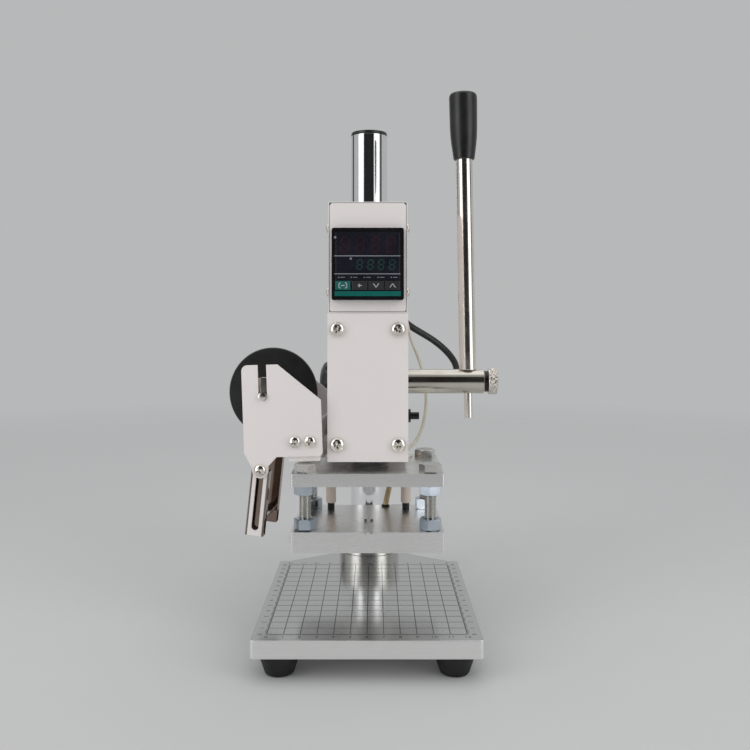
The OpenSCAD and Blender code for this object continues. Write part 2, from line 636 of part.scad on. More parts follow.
// Lever, shaft and pinion
shaft_end = 60;
shaft_left = 0.5 - head_w / 2;
collar_start = pinion_w / 2 + 0.1;
collar_d = 20;
base_r = pitch_r * cos(20);
tip_r = pitch_r + gear_module;
root_r = pitch_r - 1.25 * gear_module;
// Angle of the involute's point at radius r, from where it leaves the base circle
function involute(r) = let (c = base_r / r) sqrt(1 / (c * c) - 1) * 180 / PI - acos(c);
half_tooth = 90 / pinion_teeth - backlash / (4 * pitch_r) * 180 / PI + involute(pitch_r);
flank_r = [for (i = [0:5]) base_r + (tip_r - base_r) * i / 5];
function polar(r, a) = [r * cos(a), r * sin(a)];
module pinion_outline() polygon([for (k = [0:pinion_teeth - 1]) let (a = 360 * k / pinion_teeth)
  each concat([polar(root_r, a - half_tooth)], [for (r = flank_r) polar(r, a - half_tooth + involute(r))],
    [for (i = [5:-1:0]) polar(flank_r[i], a + half_tooth - involute(flank_r[i]))],
    [polar(root_r, a + half_tooth)])]);
module pinion() color("silver") translate([-pinion_w / 2, pinion_y, pinion_z]) rotate([90, 0, 90])
  linear_extrude(pinion_w) difference() {
    rotate(180) pinion_outline();
    circle(d = shaft_d + 2 * running);
  }
module pinion_shaft() color("silver") translate([shaft_left, pinion_y, pinion_z])
  rod_x(shaft_d, shaft_end - shaft_left);
// A collar between the pinion and the right side plate keeps the shaft in place
module shaft_retainer() color("#3a3a3a") translate([collar_start, pinion_y, pinion_z])
  rotate([0, 90, 0]) tube(collar_d, shaft_d + 2 * running, channel_w / 2 - pass_gap - collar_start);
hub_start = head_w / 2 + 0.4;
cap_ring_t = 2.6;
hub_cap_d = 19;
hub_cap_t = 6.6;
lever_z = pinion_z + hub_d / 2 - 0.8;
grip_low = grip_top - grip_l;
grip_d = [15.2, 20.2];
module lean() translate([rod_x, pinion_y, pinion_z]) rotate([0, -rod_lean, 0]) children();
module lever_hub() color("silver") difference() {
  translate([hub_start, pinion_y, pinion_z]) rotate([0, 90, 0]) rotate_extrude() polygon([[0, 0],
    [hub_d / 2, 0], [hub_d / 2, hub_end - hub_start - 0.8], [hub_d / 2 - 0.8, hub_end - hub_start],
    [0, hub_end - hub_start]]);
  translate([0, pinion_y, pinion_z]) rod_x(shaft_d + 2 * running, shaft_end + 0.5);
  translate([rod_x + rod_pin_d / 2, pinion_y, pinion_z]) rod_x(rod_pin_d + 0.2, hub_end);
  lean() {
    translate([0, 0, -hub_d]) cylinder(d = rod_pin_d + 2 * running, h = 2 * hub_d);
    translate([0, 0, hub_d / 2 - 0.8]) cylinder(d = rod_d + 2 * running, h = hub_d);
  }
}
module lever_rod() color("silver") lean() {
  translate([0, 0, hub_d / 2 - 0.7]) cylinder(d = rod_d, h = grip_low + 6 - lever_z);
  translate([0, 0, -26.2]) cylinder(d = rod_pin_d, h = 26.2 + hub_d / 2);
  translate([0, 0, grip_low + 5 - pinion_z]) cylinder(d = 8, h = 24);
}
module lever_grip() color("#141414") lean() translate([0, 0, grip_low - pinion_z]) rotate_extrude()
  difference() {
    polygon([[0, 0], [grip_d[0] / 2 - 0.6, 0], [grip_d[0] / 2, 0.6], [grip_d[1] / 2 - 0.5, grip_l - 6],
      [grip_d[1] / 2, grip_l - 3.4], [grip_d[1] / 2 - 0.7, grip_l - 1.4], [grip_d[1] / 2 - 2.4, grip_l - 0.3],
      [0, grip_l]]);
    translate([-over, -over]) square([rod_d / 2 + running + over, 6.4 + over]);
    square([4 + running, 30]);
  }
module hub_cap() color("#c9c4ba") translate([hub_end, pinion_y, pinion_z]) rotate([0, 90, 0]) {
  translate([0, 0, 0.2]) cylinder(d = hub_d - 2.5, h = cap_ring_t - 0.2);
  translate([0, 0, cap_ring_t]) rotate_extrude() polygon([[0, 0], [hub_cap_d / 2 - 0.6, 0],
    [hub_cap_d / 2, 0.6], [hub_cap_d / 2, hub_cap_t - 0.6], [hub_cap_d / 2 - 0.6, hub_cap_t], [0, hub_cap_t]]);
  translate([0, 0, -(hub_end - rod_x - rod_pin_d / 2 - 0.4)])
    cylinder(d = rod_pin_d, h = hub_end - rod_x - rod_pin_d / 2);
}

// Foil holder, in a frame on its reel axle at the front face of its front plate
holder_at = [-70, cover_y - 1, head_z + 43.8];
module holder() translate(holder_at) rotate([0, -holder_roll, -holder_yaw]) children();
plate_right = 39;
rear_set_back = 2.3;
plate_left = -14;
plate_high = 21;
plate_low = -40.5;
slot_w = 6;
pivot = [-3.5, -49];
pivot_d = 4;
flange_screw_x = [20.6, 30.8];
flange_screw_z = -30.6;
// The mount's flanges end above the heads of the levelling bolts
mount_low = press_top + bolt_head_h + loose - holder_at[2];
mount_high = -17;
// Stands an outline up in the X-Z plane, from y to y + t
module upright(y, t) translate([0, y + t, 0]) rotate([90, 0, 0]) linear_extrude(t) children();
tab_r = 5.5;
corner_r = 4;
low_corner_r = 3;
module holder_plate(right) difference() {
  union() {
    upright(0, holder_t) polygon([[plate_left, plate_low + 3], [plate_left, plate_high - corner_r],
      [plate_left + corner_r, plate_high], [10.4, plate_high], [right, (39 - right) * 0.85 - 3.3],
      [right, plate_low + low_corner_r], [right - low_corner_r, plate_low], [8, plate_low],
      [pivot[0] + tab_r * 0.95, pivot[1] + 2], [pivot[0] - tab_r * 0.95, pivot[1] + 1]]);
    translate([plate_left + corner_r, 0, plate_high - corner_r]) rod_y(2 * corner_r, holder_t);
    translate([right - low_corner_r, 0, plate_low + low_corner_r]) rod_y(2 * low_corner_r, holder_t);
    translate([pivot[0], 0, pivot[1]]) rod_y(2 * tab_r, holder_t);
  }
  translate([-slot_w / 2, -over, 0]) cube([slot_w, holder_t + 2 * over, plate_high + over]);
  for (p = [[0, 0, slot_w], [flange_screw_x[0], flange_screw_z, pivot_d + 2 * running],
      [flange_screw_x[1], flange_screw_z, pivot_d + 2 * running], [pivot[0], pivot[1], pivot_d + 2 * running]])
    translate([p[0], -over, p[1]]) rod_y(p[2], holder_t + 2 * over);
}
module holder_front_plate() color("#e8e4e0") holder() holder_plate(plate_right);
module holder_rear_plate() color("#e8e4e0") holder() translate([0, holder_span, 0])
  holder_plate(plate_right - rear_set_back);
mount_left = 16;
web_x = 37;
boss_left = -head_w / 2 - 8;
module holder_mount() color("#e8e4e0") difference() {
  union() {
    holder() {
      for (y = [holder_t, holder_span - holder_t]) upright(y, holder_t) translate([mount_left, mount_low])
        square([web_x - mount_left, mount_high - mount_low]);
      translate([web_x - holder_t, holder_t, mount_low])
        cube([holder_t, holder_span - holder_t, mount_high - mount_low]);
    }
    for (y = mount_screw_y) translate([boss_left, y, mount_screw_z])
      rod_x(12, -head_w / 2 - boss_left);
  }
  holder() for (x = flange_screw_x) translate([x, 0, flange_screw_z])
    rod_y(pivot_d + 2 * running, holder_span + 10);
  for (y = mount_screw_y) translate([boss_left - 10, y, mount_screw_z]) rod_x(4 + 2 * running, 2 * head_w);
}
module holder_screws() color("silver") {
  holder() for (x = flange_screw_x) {
    translate([x, 0, flange_screw_z]) rotate([90, 0, 0]) pan_screw(pivot_d, 8, 2.8, 7);
    translate([x, holder_span + holder_t, flange_screw_z]) rotate([-90, 0, 0])
      pan_screw(pivot_d, 8, 2.8, 7);
  }
  for (y = mount_screw_y) translate([boss_left, y, mount_screw_z]) rotate([0, -90, 0])
    pan_screw(pivot_d, 7.4, 2.6, -head_w / 2 - boss_left + 8);
}
disc_y = 30;
disc_t = 3;
disc_boss_d = 22;
disc_boss_l = 7;
axle_over = 2;
module reel_axle() color("#9a968f") holder() translate([0, -axle_over, 0])
  rod_y(axle_d, holder_span + holder_t + 2 * axle_over);
module reel_disc() color("#121212") holder() translate([0, disc_y, 0]) rotate([-90, 0, 0])
  difference() {
    union() {
      rotate_extrude() polygon([[0, 0], [disc_d / 2 - 0.6, 0], [disc_d / 2, 0.8], [disc_d / 2, disc_t - 0.8],
        [disc_d / 2 - 0.6, disc_t], [0, disc_t]]);
      translate([0, 0, -disc_boss_l]) cylinder(d = disc_boss_d, h = disc_boss_l + over);
    }
    translate([0, 0, -disc_boss_l - over])
      cylinder(d = axle_d + 2 * running, h = disc_boss_l + disc_t + 2 * over);
  }
module reel_collar() color("#b8b2a8") holder() translate([0, 3.6, 0]) rotate([-90, 0, 0])
  tube(25, axle_d + 2 * running, 8);
arm_w = 9.9;
arm_slot_w = 4.9;
arm_top = 5.5;
arm_slot_l = 38.5;
arm_gap = 0.2;
rail_w = 12.3;
rail_t = 1.1;
rail_depth = 6.5;
rail_start = arm_top - guide_l;
rail_top = [-0.5, 13.5];
bar_d = 6;
bar_up = 8.5;
module guide_tilted() translate([pivot[0], holder_t + arm_gap, pivot[1]]) rotate([0, guide_tilt, 0]) children();
// The rear of the holder mirrors its front
module behind() translate([0, holder_span + holder_t, 0]) mirror([0, 1, 0]) children();
module arm() guide_tilted() upright(0, holder_t) difference() {
  translate([-arm_w / 2, rail_start]) square([arm_w, guide_l]);
  translate([-arm_slot_w / 2, -arm_slot_l]) square([arm_slot_w, arm_slot_l]);
  for (z = [0, -arm_slot_l]) translate([0, z]) circle(d = arm_slot_w);
}
module guide_arms() color("#e8e4e0") holder() {
  arm();
  behind() arm();
}
// A polished channel around an arm, its web towards the middle of the holder
module rail(top) guide_tilted() difference() {
  translate([-rail_w / 2, 0, rail_start]) cube([rail_w, rail_depth, top - rail_start]);
  translate([-rail_w / 2 + rail_t, -over, rail_start - over])
    cube([rail_w - 2 * rail_t, rail_depth - rail_t + over, top - rail_start + 2 * over]);
}
module guide_bar() color("#9c9a96") holder() {
  rail(rail_top[0]);
  behind() rail(rail_top[1]);
  guide_tilted() translate([0, rail_depth - 0.1, rail_start + bar_up])
    rod_y(bar_d, holder_span - holder_t - 2 * (arm_gap + rail_depth) + 0.2);
}
module guide_screw() {
  rotate([90, 0, 0]) pan_screw(pivot_d, 8, 2.8, 6.6);
  translate([0, holder_t + arm_gap + holder_t + 0.3, 0]) rotate([-90, 0, 0]) difference() {
    hexagon(7, 2.8);
    translate([0, 0, -over]) cylinder(d = pivot_d + 2 * running, h = 5);
  }
}
module guide_screws() color("silver") holder() {
  translate([pivot[0], 0, pivot[1]]) guide_screw();
  behind() translate([pivot[0], 0, pivot[1]]) guide_screw();
}

// Mains lead: gland, hanging lead, stored coil and plug
gland_flange_d = 10.6;
gland_flange_t = 2;
cord_exit_y = 2;
module cord_gland() color("#161616") translate([gland_x, 0, gland_z]) rotate([-90, 0, 0]) {
  translate([0, 0, box_back - 3]) cylinder(d = gland_hole_d, h = 4);
  translate([0, 0, box_back]) cylinder(d = gland_flange_d, h = gland_flange_t);
  translate([0, 0, box_back]) cylinder(d1 = 8.6, d2 = cord_d + 1.2, h = cord_exit_y - box_back);
}
// Chosen points of the lead, from its gland to the edge of its coil
cord_points = [[gland_x, cord_exit_y, gland_z], [20.5, 12, 231.7], [20.6, 22, 230.2],
  [21.2, 31.6, 226.8], [22.8, 40.6, 221.8], [26.6, 48.6, 215.6], [32.8, 54.8, 209.4], [40.8, 59.2, 204],
  [49.8, 62.8, 199], [58.8, 66, 193.4], [67, 69.6, 186.8], [73.8, 74, 179.8], [78.6, 79.8, 172.8],
  [80.8, 87, 166], [80, 94.6, 160], [76.4, 101.4, 155], [70.2, 106.4, 151.4], [62.4, 109.2, 149.4],
  [53.8, 110, 148.6], [45, 108.8, 148], [36.6, 105.8, 146.6], [28.8, 101.2, 143.4], [22, 95.8, 138],
  [16.4, 90.4, 130.6], [12.2, 85.8, 121.6], [9.4, 82.2, 111.4], [7.6, 79.6, 100.6], [6.8, 78, 89.4],
  [6.6, 77.2, 78], [6.8, 77.2, 66.4], [7.6, 78, 54.6], [9, 80, 43], [10.8, 83.6, 32], [12.6, 89, 22],
  [14.6, 96, 12.4], [16.2, 104.2, 5.8], [17.4, 112.6, 3.2], [18, 119, 3]];
module mains_cord() color("#131313") path_tube(cord_points, cord_d, 10);
// The coil: three turns on the bench and the rest lying on them
coil_x = -28;
coil_y = 128;
coil_r = 46.5;
coil_step = 6.1;
turns_in = 3.4;
turns_out = 1.4;
coil_in = coil_r - turns_in * coil_step - cord_d / 2;
coil_top_r = coil_r - (turns_in - turns_out) * coil_step + cord_d / 2;
plug_at = [32, 133, 10.3];
// Chosen points of the stretch that crosses to the plug
tail_points = [[-17.4, 95, 9.3], [-6, 98.8, 9.4], [4.6, 103.6, 9.9], [13.6, 107.8, 10.4],
  [19.4, 110.9, 10.5], [24.5, 114.8, 10.5], [28.5, 120, 10.4], [31.1, 126.3, 10.3], plug_at];
module cord_coil() color("#131313") {
  translate([coil_x, coil_y, 0]) rotate_extrude() polygon([[coil_in, 1.5], [coil_in + 1.5, 0],
    [coil_r + 1.5, 0], [coil_r + cord_d / 2, 1.5], [coil_r + cord_d / 2, 4.5], [coil_r + 1.5, cord_d],
    [coil_top_r, cord_d + 0.1], [coil_top_r, 10.7], [coil_top_r - 1.5, 12.2], [coil_in + 1.5, 12.2],
    [coil_in, 10.7]]);
  path_tube(tail_points, cord_d, 10);
}
plug_relief_l = 22;
plug_l = 26;
plug_w = 27;
plug_t = 20;
blade_gap = 12.7;
module mains_plug() translate(plug_at) rotate([-90, 0, 0]) {
  color("#131313") cylinder(d1 = cord_d + 1, d2 = 11, h = plug_relief_l + over);
  color("#131313") translate([0, 0, plug_relief_l]) linear_extrude(plug_l) rounded(plug_w, plug_t, 4);
  // Two flat blades and a round earth pin
  color("gold") for (y = [-1, 1]) translate([1.5, y * blade_gap / 2 - 0.75, plug_relief_l + plug_l - over])
    cube([6.3, 1.5, 16 + over]);
  color("gold") translate([-7.2, 0, plug_relief_l + plug_l - over]) cylinder(d = 4.8, h = 19 + over);
}

base_plate();
rubber_feet();
base_screws();
column_socket();
column();
column_cap();
side_plate_left();
side_plate_right();
clamp_block();
head_screws();
front_cover();
front_cover_screws();
ram_guides();
guide_set_screw();
shaft_bushes();
spring_anchor();
controller_housing();
housing_back();
housing_screws();
controller_case();
controller_bezel();
display_window();
set_key();
shift_key();
down_key();
up_key();
clamp_knob();
ram();
press_plate();
ram_screws();
levelling_bolts();
levelling_nuts();
heater_plate();
cartridge_heaters();
thermocouple();
lead_sleeves();
spring_post();
return_spring();
heater_leads();
pinion_shaft();
pinion();
shaft_retainer();
lever_hub();
lever_rod();
lever_grip();
hub_cap();
holder_front_plate();
holder_rear_plate();
holder_mount();
holder_screws();
reel_axle();
reel_disc();
reel_collar();
guide_screws();
guide_arms();
guide_bar();
cord_gland();
mains_cord();
cord_coil();
mains_plug();
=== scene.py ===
import math

import bmesh
import bpy
from mathutils import Matrix, Vector


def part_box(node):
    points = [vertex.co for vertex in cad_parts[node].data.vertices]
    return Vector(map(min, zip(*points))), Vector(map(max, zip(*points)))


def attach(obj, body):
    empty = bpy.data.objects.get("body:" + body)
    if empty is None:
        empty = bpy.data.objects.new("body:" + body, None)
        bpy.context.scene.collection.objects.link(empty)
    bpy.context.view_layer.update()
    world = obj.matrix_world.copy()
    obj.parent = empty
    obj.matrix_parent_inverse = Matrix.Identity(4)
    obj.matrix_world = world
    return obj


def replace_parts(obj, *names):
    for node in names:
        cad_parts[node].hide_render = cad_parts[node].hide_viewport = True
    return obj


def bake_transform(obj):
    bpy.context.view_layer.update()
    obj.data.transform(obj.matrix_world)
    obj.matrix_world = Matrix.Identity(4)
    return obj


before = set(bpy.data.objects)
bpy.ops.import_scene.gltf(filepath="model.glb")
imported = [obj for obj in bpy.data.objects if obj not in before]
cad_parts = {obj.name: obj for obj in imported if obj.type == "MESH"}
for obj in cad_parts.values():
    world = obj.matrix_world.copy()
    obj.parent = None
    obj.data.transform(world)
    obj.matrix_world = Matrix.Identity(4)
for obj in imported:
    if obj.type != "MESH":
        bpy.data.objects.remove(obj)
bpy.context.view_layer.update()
scene = bpy.context.scene
scene.view_settings.view_transform = "Standard"
mm = 0.001


# A socket that takes part in sums, so that a pattern reads as a formula
class Wire:
    def __init__(self, finish, socket):
        self.finish, self.socket = finish, socket

    def sum(self, operation, first, second=0.0):
        return self.finish.node("ShaderNodeMath", {"operation": operation}, [first, second])

    def __add__(self, other): return self.sum("ADD", self, other)
    def __radd__(self, other): return self.sum("ADD", other, self)
    def __sub__(self, other): return self.sum("SUBTRACT", self, other)
    def __rsub__(self, other): return self.sum("SUBTRACT", other, self)
    def __mul__(self, other): return self.sum("MULTIPLY", self, other)
    def __rmul__(self, other): return self.sum("MULTIPLY", other, self)
    def __truediv__(self, other): return self.sum("DIVIDE", self, other)
    def __gt__(self, other): return self.sum("GREATER_THAN", self, other)
    def __lt__(self, other): return self.sum("LESS_THAN", self, other)
    def __abs__(self): return self.sum("ABSOLUTE", self)
    def wave(self): return self.sum("SINE", self)
    def cell(self): return self.sum("FRACT", self)


class Finish:
    def __init__(self, name, **settings):
        self.material = bpy.data.materials.new(name)
        self.material.use_nodes = True
        self.tree = self.material.node_tree
        self.surface = self.tree.nodes["Principled BSDF"]
        self.output = self.tree.nodes["Material Output"]
        for socket, value in settings.items():
            self.set(socket, value)
        self.coords = self.tree.nodes.new("ShaderNodeTexCoord")

    # Spaces in a socket's name are written as capitals: baseColor is Base Color
    def set(self, name, value):
        label = "".join(" " + c if c.isupper() else c for c in name).strip().title().replace("Ior", "IOR")
        self.plug(self.surface.inputs[label], value)

    def plug(self, socket, value):
        if isinstance(value, Wire):
            self.tree.links.new(value.socket, socket)
        elif socket.type == "RGBA" and len(value) == 3:
            socket.default_value = (*value, 1)
        else:
            socket.default_value = value

    # Makes any node: its settings come first, then what goes into its sockets
    def node(self, kind, settings=None, inputs=(), out=0):
        made = self.tree.nodes.new(kind)
        for key, value in (settings or {}).items():
            if key == "stops":
                ramp = made.color_ramp.elements
                while len(ramp) < len(value):
                    ramp.new(1)
                for stop, (place, shade) in zip(ramp, value):
                    stop.position, stop.color = place, (*shade, 1)
            else:
                setattr(made, key, value)
        pairs = inputs.items() if isinstance(inputs, dict) else enumerate(inputs)
        for key, value in pairs:
            if value is not None:
                self.plug(made.inputs[key], value)
        return Wire(self, made.outputs[out])

    def place(self, scale=(1, 1, 1), turn=(0, 0, 0)):
        return self.node("ShaderNodeMapping", {}, {0: self.point(), 2: turn, 3: scale})

    def point(self):
        return Wire(self, self.coords.outputs["Object"])

    def axes(self):
        split = self.tree.nodes.new("ShaderNodeSeparateXYZ")
        self.plug(split.inputs[0], self.point())
        return [Wire(self, split.outputs[i]) for i in range(3)]

    def noise(self, scale, detail=3, stretch=(1, 1, 1), roughness=0.55):
        return self.node("ShaderNodeTexNoise", {},
            {"Vector": self.place(stretch), "Scale": scale, "Detail": detail, "Roughness": roughness})

    def ramp(self, value, *stops):
        return self.node("ShaderNodeValToRGB", {"stops": stops}, [value])

    def range(self, value, low, high, start=0.0, end=1.0):
        return self.node("ShaderNodeMapRange", {}, [value, start, end, low, high])

    def mix(self, factor, first, second):
        return self.node("ShaderNodeMix", {"data_type": "RGBA"}, {0: factor, 6: first, 7: second}, out=2)

    # Depth is in millimetres
    def bump(self, height, depth, strength=1.0):
        return self.node("ShaderNodeBump", {},
            {"Strength": strength, "Distance": depth * mm, "Height": height})


print("stage: frame loaded")

# The camera looks level along +Y, as the photograph does
view = {"place": (0.0048, -0.6826, 0.2143), "lens": 39.84, "sensor": 36, "shiftY": -0.0761}
camera = bpy.data.objects.new("camera", bpy.data.cameras.new("camera"))
camera.data.lens, camera.data.sensor_width = view["lens"], view["sensor"]
camera.data.shift_y = view["shiftY"]
camera.location, camera.rotation_euler = view["place"], (math.radians(90), 0, 0)
scene.collection.objects.link(camera)
scene.camera = camera

# Soft studio: two tall boxes beside the camera, one overhead, and dark boards that polished metal mirrors
studio = {"backdrop": (0.475, 0.48, 0.484), "floor": (0.6, 0.605, 0.602), "floorSize": 5, "fade": (0.3, 1.5),
    "ambient": (0.5, 0.5, 0.51), "aim": (0, -0.1, 0.16)}
boxes = {
    "leftBox": {"angle": -52, "far": 1.15, "high": 0.5, "size": (0.62, 1.5), "glow": 1.7},
    "rightBox": {"angle": 50, "far": 1.15, "high": 0.5, "size": (0.62, 1.5), "glow": 1.6},
    "topBox": {"angle": 0, "far": 0, "high": 1.5, "size": (1.3, 1.1), "glow": 0.8},
    "backBox": {"angle": 165, "far": 1.2, "high": 1.5, "size": (1.2, 0.6), "glow": 0.8},
}
boards = {
    "frontBoard": {"angle": -2, "far": 1.25, "low": 0.02, "size": (1.45, 1.5), "shade": 0.012},
    "sideBoard": {"angle": 79, "far": 1.2, "low": 0.25, "size": (0.24, 0.8), "shade": 0.02},
    "farBoard": {"angle": -118, "far": 1.3, "low": 0.05, "size": (0.4, 0.9), "shade": 0.1},
}


# A place around the machine: 0 degrees is the camera's side and 90 is to the right
def around(angle, far, high):
    turn = math.radians(angle)
    return Vector((far * math.sin(turn), -far * math.cos(turn), high))


def aimed(place):
    return (Vector(studio["aim"]) - place).to_track_quat("-Z", "Y").to_euler()


for name, box in boxes.items():
    light = bpy.data.lights.new(name, "AREA")
    light.shape, (light.size, light.size_y) = "RECTANGLE", box["size"]
    light.energy = box["glow"] * math.pi * box["size"][0] * box["size"][1]
    lamp = bpy.data.objects.new(name, light)
    lamp.location = around(box["angle"], box["far"], box["high"])
    lamp.rotation_euler = aimed(lamp.location)
    lamp.visible_camera = False
    scene.collection.objects.link(lamp)


def stageMesh(name, bm, material):
    mesh = bpy.data.meshes.new(name)
    bm.to_mesh(mesh)
    bm.free()
    mesh.materials.append(material)
    made = bpy.data.objects.new(name, mesh)
    scene.collection.objects.link(made)
    return made


for name, board in boards.items():
    dull = Finish(name, baseColor=(board["shade"],) * 3, roughness=0.9)
    bm = bmesh.new()
    bmesh.ops.create_grid(bm, x_segments=1, y_segments=1, size=0.5)
    width, height = board["size"]
    middle = around(board["angle"], board["far"], board["low"] + height / 2)
    bmesh.ops.transform(bm, verts=bm.verts, matrix=Matrix.Translation(middle)
        @ Matrix.Rotation(math.radians(board["angle"]), 4, "Z") @ Matrix.Rotation(math.radians(90), 4, "X")
        @ Matrix.Diagonal((width, height, 1, 1)))
    made = stageMesh(name, bm, dull.material)
    made.visible_camera = made.visible_diffuse = made.visible_shadow = False

# The floor keeps the shadow near the machine and melts into the backdrop further out
floor = Finish("paleFloor", roughness=0.85)
x, y, z = floor.axes()
distance = floor.node("ShaderNodeVectorMath", {"operation": "LENGTH"}, [floor.point()], out=1)
floor.set("baseColor", floor.mix(floor.noise(30), studio["floor"], [c * 0.985 for c in studio["floor"]]))
clear = floor.node("ShaderNodeBsdfTransparent")
melted = floor.node("ShaderNodeMixShader", {}, {0: floor.range(distance, 0, 1, *studio["fade"]),
    1: Wire(floor, floor.surface.outputs[0]), 2: clear})
floor.plug(floor.output.inputs[0], melted)
bm = bmesh.new()
bmesh.ops.create_circle(bm, cap_ends=True, radius=studio["floorSize"], segments=64)
bmesh.ops.translate(bm, verts=bm.verts, vec=(0, 0, -0.0001))
stageMesh("floor", bm, floor.material)

# The world is the backdrop where it is seen or mirrored, and plain soft light elsewhere
world = bpy.data.worlds.new("studioWorld")
world.use_nodes = True
scene.world = world
tree = world.node_tree
shown, light = tree.nodes["Background"], tree.nodes.new("ShaderNodeBackground")
path, mixed = tree.nodes.new("ShaderNodeLightPath"), tree.nodes.new("ShaderNodeMixShader")
shown.inputs[0].default_value, light.inputs[0].default_value = (*studio["backdrop"], 1), (*studio["ambient"], 1)
seen = tree.nodes.new("ShaderNodeMath")
seen.operation, seen.use_clamp = "ADD", True
both = tree.nodes.new("ShaderNodeMath")
both.operation, both.use_clamp = "ADD", True
tree.links.new(path.outputs["Is Camera Ray"], seen.inputs[0])
tree.links.new(path.outputs["Is Glossy Ray"], seen.inputs[1])
tree.links.new(seen.outputs[0], both.inputs[0])
tree.links.new(path.outputs["Is Transmission Ray"], both.inputs[1])
tree.links.new(both.outputs[0], mixed.inputs[0])
tree.links.new(light.outputs[0], mixed.inputs[1])
tree.links.new(shown.outputs[0], mixed.inputs[2])
tree.links.new(mixed.outputs[0], tree.nodes["World Output"].inputs[0])
print("stage: camera, lamps and floor made")

# Metals: the tone drifts a little, and finger marks and wear change the gloss
metals = {
    "hardChrome": {"tone": (0.84, 0.84, 0.85), "drift": 0.02, "gloss": (0.03, 0.09), "grain": 0.0},
    "brightNickel": {"tone": (0.79, 0.75, 0.69), "drift": 0.04, "gloss": (0.13, 0.22), "grain": 0.0},
    # a darker copy of bright nickel for the lever hub: painted shade for the dark reflections on it
    "hubShadedNickel": {"tone": (0.58, 0.55, 0.49), "drift": 0.04, "gloss": (0.13, 0.22), "grain": 0.0},
    # darker steel for the thread roots: painted shade in the valleys of the threads
    "shadedThreadRoot": {"tone": (0.42, 0.415, 0.395), "drift": 0.04, "gloss": (0.35, 0.5), "grain": 0.01},
    "zincSteel": {"tone": (0.7, 0.69, 0.66), "drift": 0.06, "gloss": (0.16, 0.3), "grain": 0.006},
    "blueZinc": {"tone": (0.56, 0.62, 0.69), "drift": 0.1, "gloss": (0.12, 0.24), "grain": 0.008},
    "milledSteel": {"tone": (0.62, 0.63, 0.64), "drift": 0.05, "gloss": (0.24, 0.38), "grain": 0.012},
    "turnedMetal": {"tone": (0.66, 0.65, 0.62), "drift": 0.05, "gloss": (0.22, 0.34), "grain": 0.01},
    "bronzeBush": {"tone": (0.66, 0.46, 0.2), "drift": 0.08, "gloss": (0.28, 0.42), "grain": 0.01},
    "darkSteel": {"tone": (0.045, 0.045, 0.048), "drift": 0.01, "gloss": (0.3, 0.5), "grain": 0.01},
}


def metal(name, stretch=(1, 1, 1)):
    look = metals[name]
    made = Finish(name, metallic=1.0)
    cloud = made.noise(28, 4)
    dark = [c - look["drift"] for c in look["tone"]]
    light = [c + look["drift"] for c in look["tone"]]
    made.set("baseColor", made.ramp(cloud, (0.35, dark), (0.65, light)))
    made.set("roughness", made.range(made.noise(90, 5), *look["gloss"], 0.35, 0.7))
    if look["grain"]:
        made.set("normal", made.bump(made.noise(1400, 2, stretch), look["grain"]))
    return made


# Painted, moulded and rubber skins: two tones, a gloss range and a fine texture
skins = {
    "blackRubber": {"tones": ((0.006, 0.006, 0.006), (0.012, 0.012, 0.012)), "gloss": (0.5, 0.65),
        "texture": (1200, 0.03), "coat": 0.0},
    "blackPlastic": {"tones": ((0.008, 0.008, 0.009), (0.014, 0.014, 0.015)), "gloss": (0.3, 0.42),
        "texture": (2600, 0.01), "coat": 0.0},
    "blackGloss": {"tones": ((0.006, 0.006, 0.007), (0.009, 0.009, 0.011)), "gloss": (0.12, 0.2),
        "texture": (1800, 0.003), "coat": 0.3},
    "greyKey": {"tones": ((0.022, 0.022, 0.026), (0.03, 0.03, 0.035)), "gloss": (0.35, 0.45),
        "texture": (3000, 0.008), "coat": 0.0},
    "tealKey": {"tones": ((0.005, 0.1, 0.088), (0.008, 0.125, 0.108)), "gloss": (0.32, 0.42),
        "texture": (3000, 0.008), "coat": 0.0},
    "creamLead": {"tones": ((0.56, 0.52, 0.42), (0.66, 0.62, 0.52)), "gloss": (0.35, 0.5),
        "texture": (1500, 0.02), "coat": 0.0},
    "blackCord": {"tones": ((0.006, 0.006, 0.006), (0.013, 0.013, 0.013)), "gloss": (0.26, 0.4),
        "texture": (900, 0.03), "coat": 0.0},
    "brassPin": {"tones": ((0.6, 0.44, 0.2), (0.72, 0.55, 0.28)), "gloss": (0.2, 0.3),
        "texture": (1500, 0.005), "coat": 0.0},
}


def skin(name, **constants):
    look = skins[name]
    made = Finish(name, **constants)
    made.set("baseColor", made.ramp(made.noise(60, 4), (0.35, look["tones"][0]), (0.65, look["tones"][1])))
    made.set("roughness", made.range(made.noise(130, 4), *look["gloss"], 0.35, 0.7))
    size, depth = look["texture"]
    made.set("normal", made.bump(made.noise(size, 2), depth))
    if look["coat"]:
        made.set("coatWeight", look["coat"])
    return made


# Warm grey-white powder paint with its faint orange peel
paint = {"light": (0.84, 0.795, 0.775), "shade": (0.8, 0.755, 0.735), "gloss": (0.3, 0.4), "peel": 420, "peelDepth": 0.05}
whitePaint = Finish("whitePaint")
whitePaint.set("baseColor", whitePaint.mix(whitePaint.noise(14, 4), paint["shade"], paint["light"]))
whitePaint.set("roughness", whitePaint.range(whitePaint.noise(70, 3), *paint["gloss"], 0.3, 0.7))
whitePaint.set("normal", whitePaint.bump(whitePaint.noise(paint["peel"], 2), paint["peelDepth"], 0.5))

# Brushed aluminium: fine strokes along X on every face, and a satin cloudiness between them
brushed = {"gloss": (0.2, 0.36), "side": (0.93, 0.93, 0.915), "ruled": (0.66, 0.665, 0.66), "press": (0.86, 0.86, 0.845)}


def brushedAluminium(name, tone, gloss, stroke):
    made = Finish(name, metallic=1.0)
    grain = made.noise(9, 6, stroke, 0.7)
    made.set("baseColor", made.ramp(grain, (0.3, [c * 0.93 for c in tone]), (0.7, tone)))
    made.set("roughness", made.range(made.noise(22, 4) * 0.5 + grain * 0.5, *gloss, 0.35, 0.65))
    made.set("normal", made.bump(grain, 0.012, 0.6))
    return made


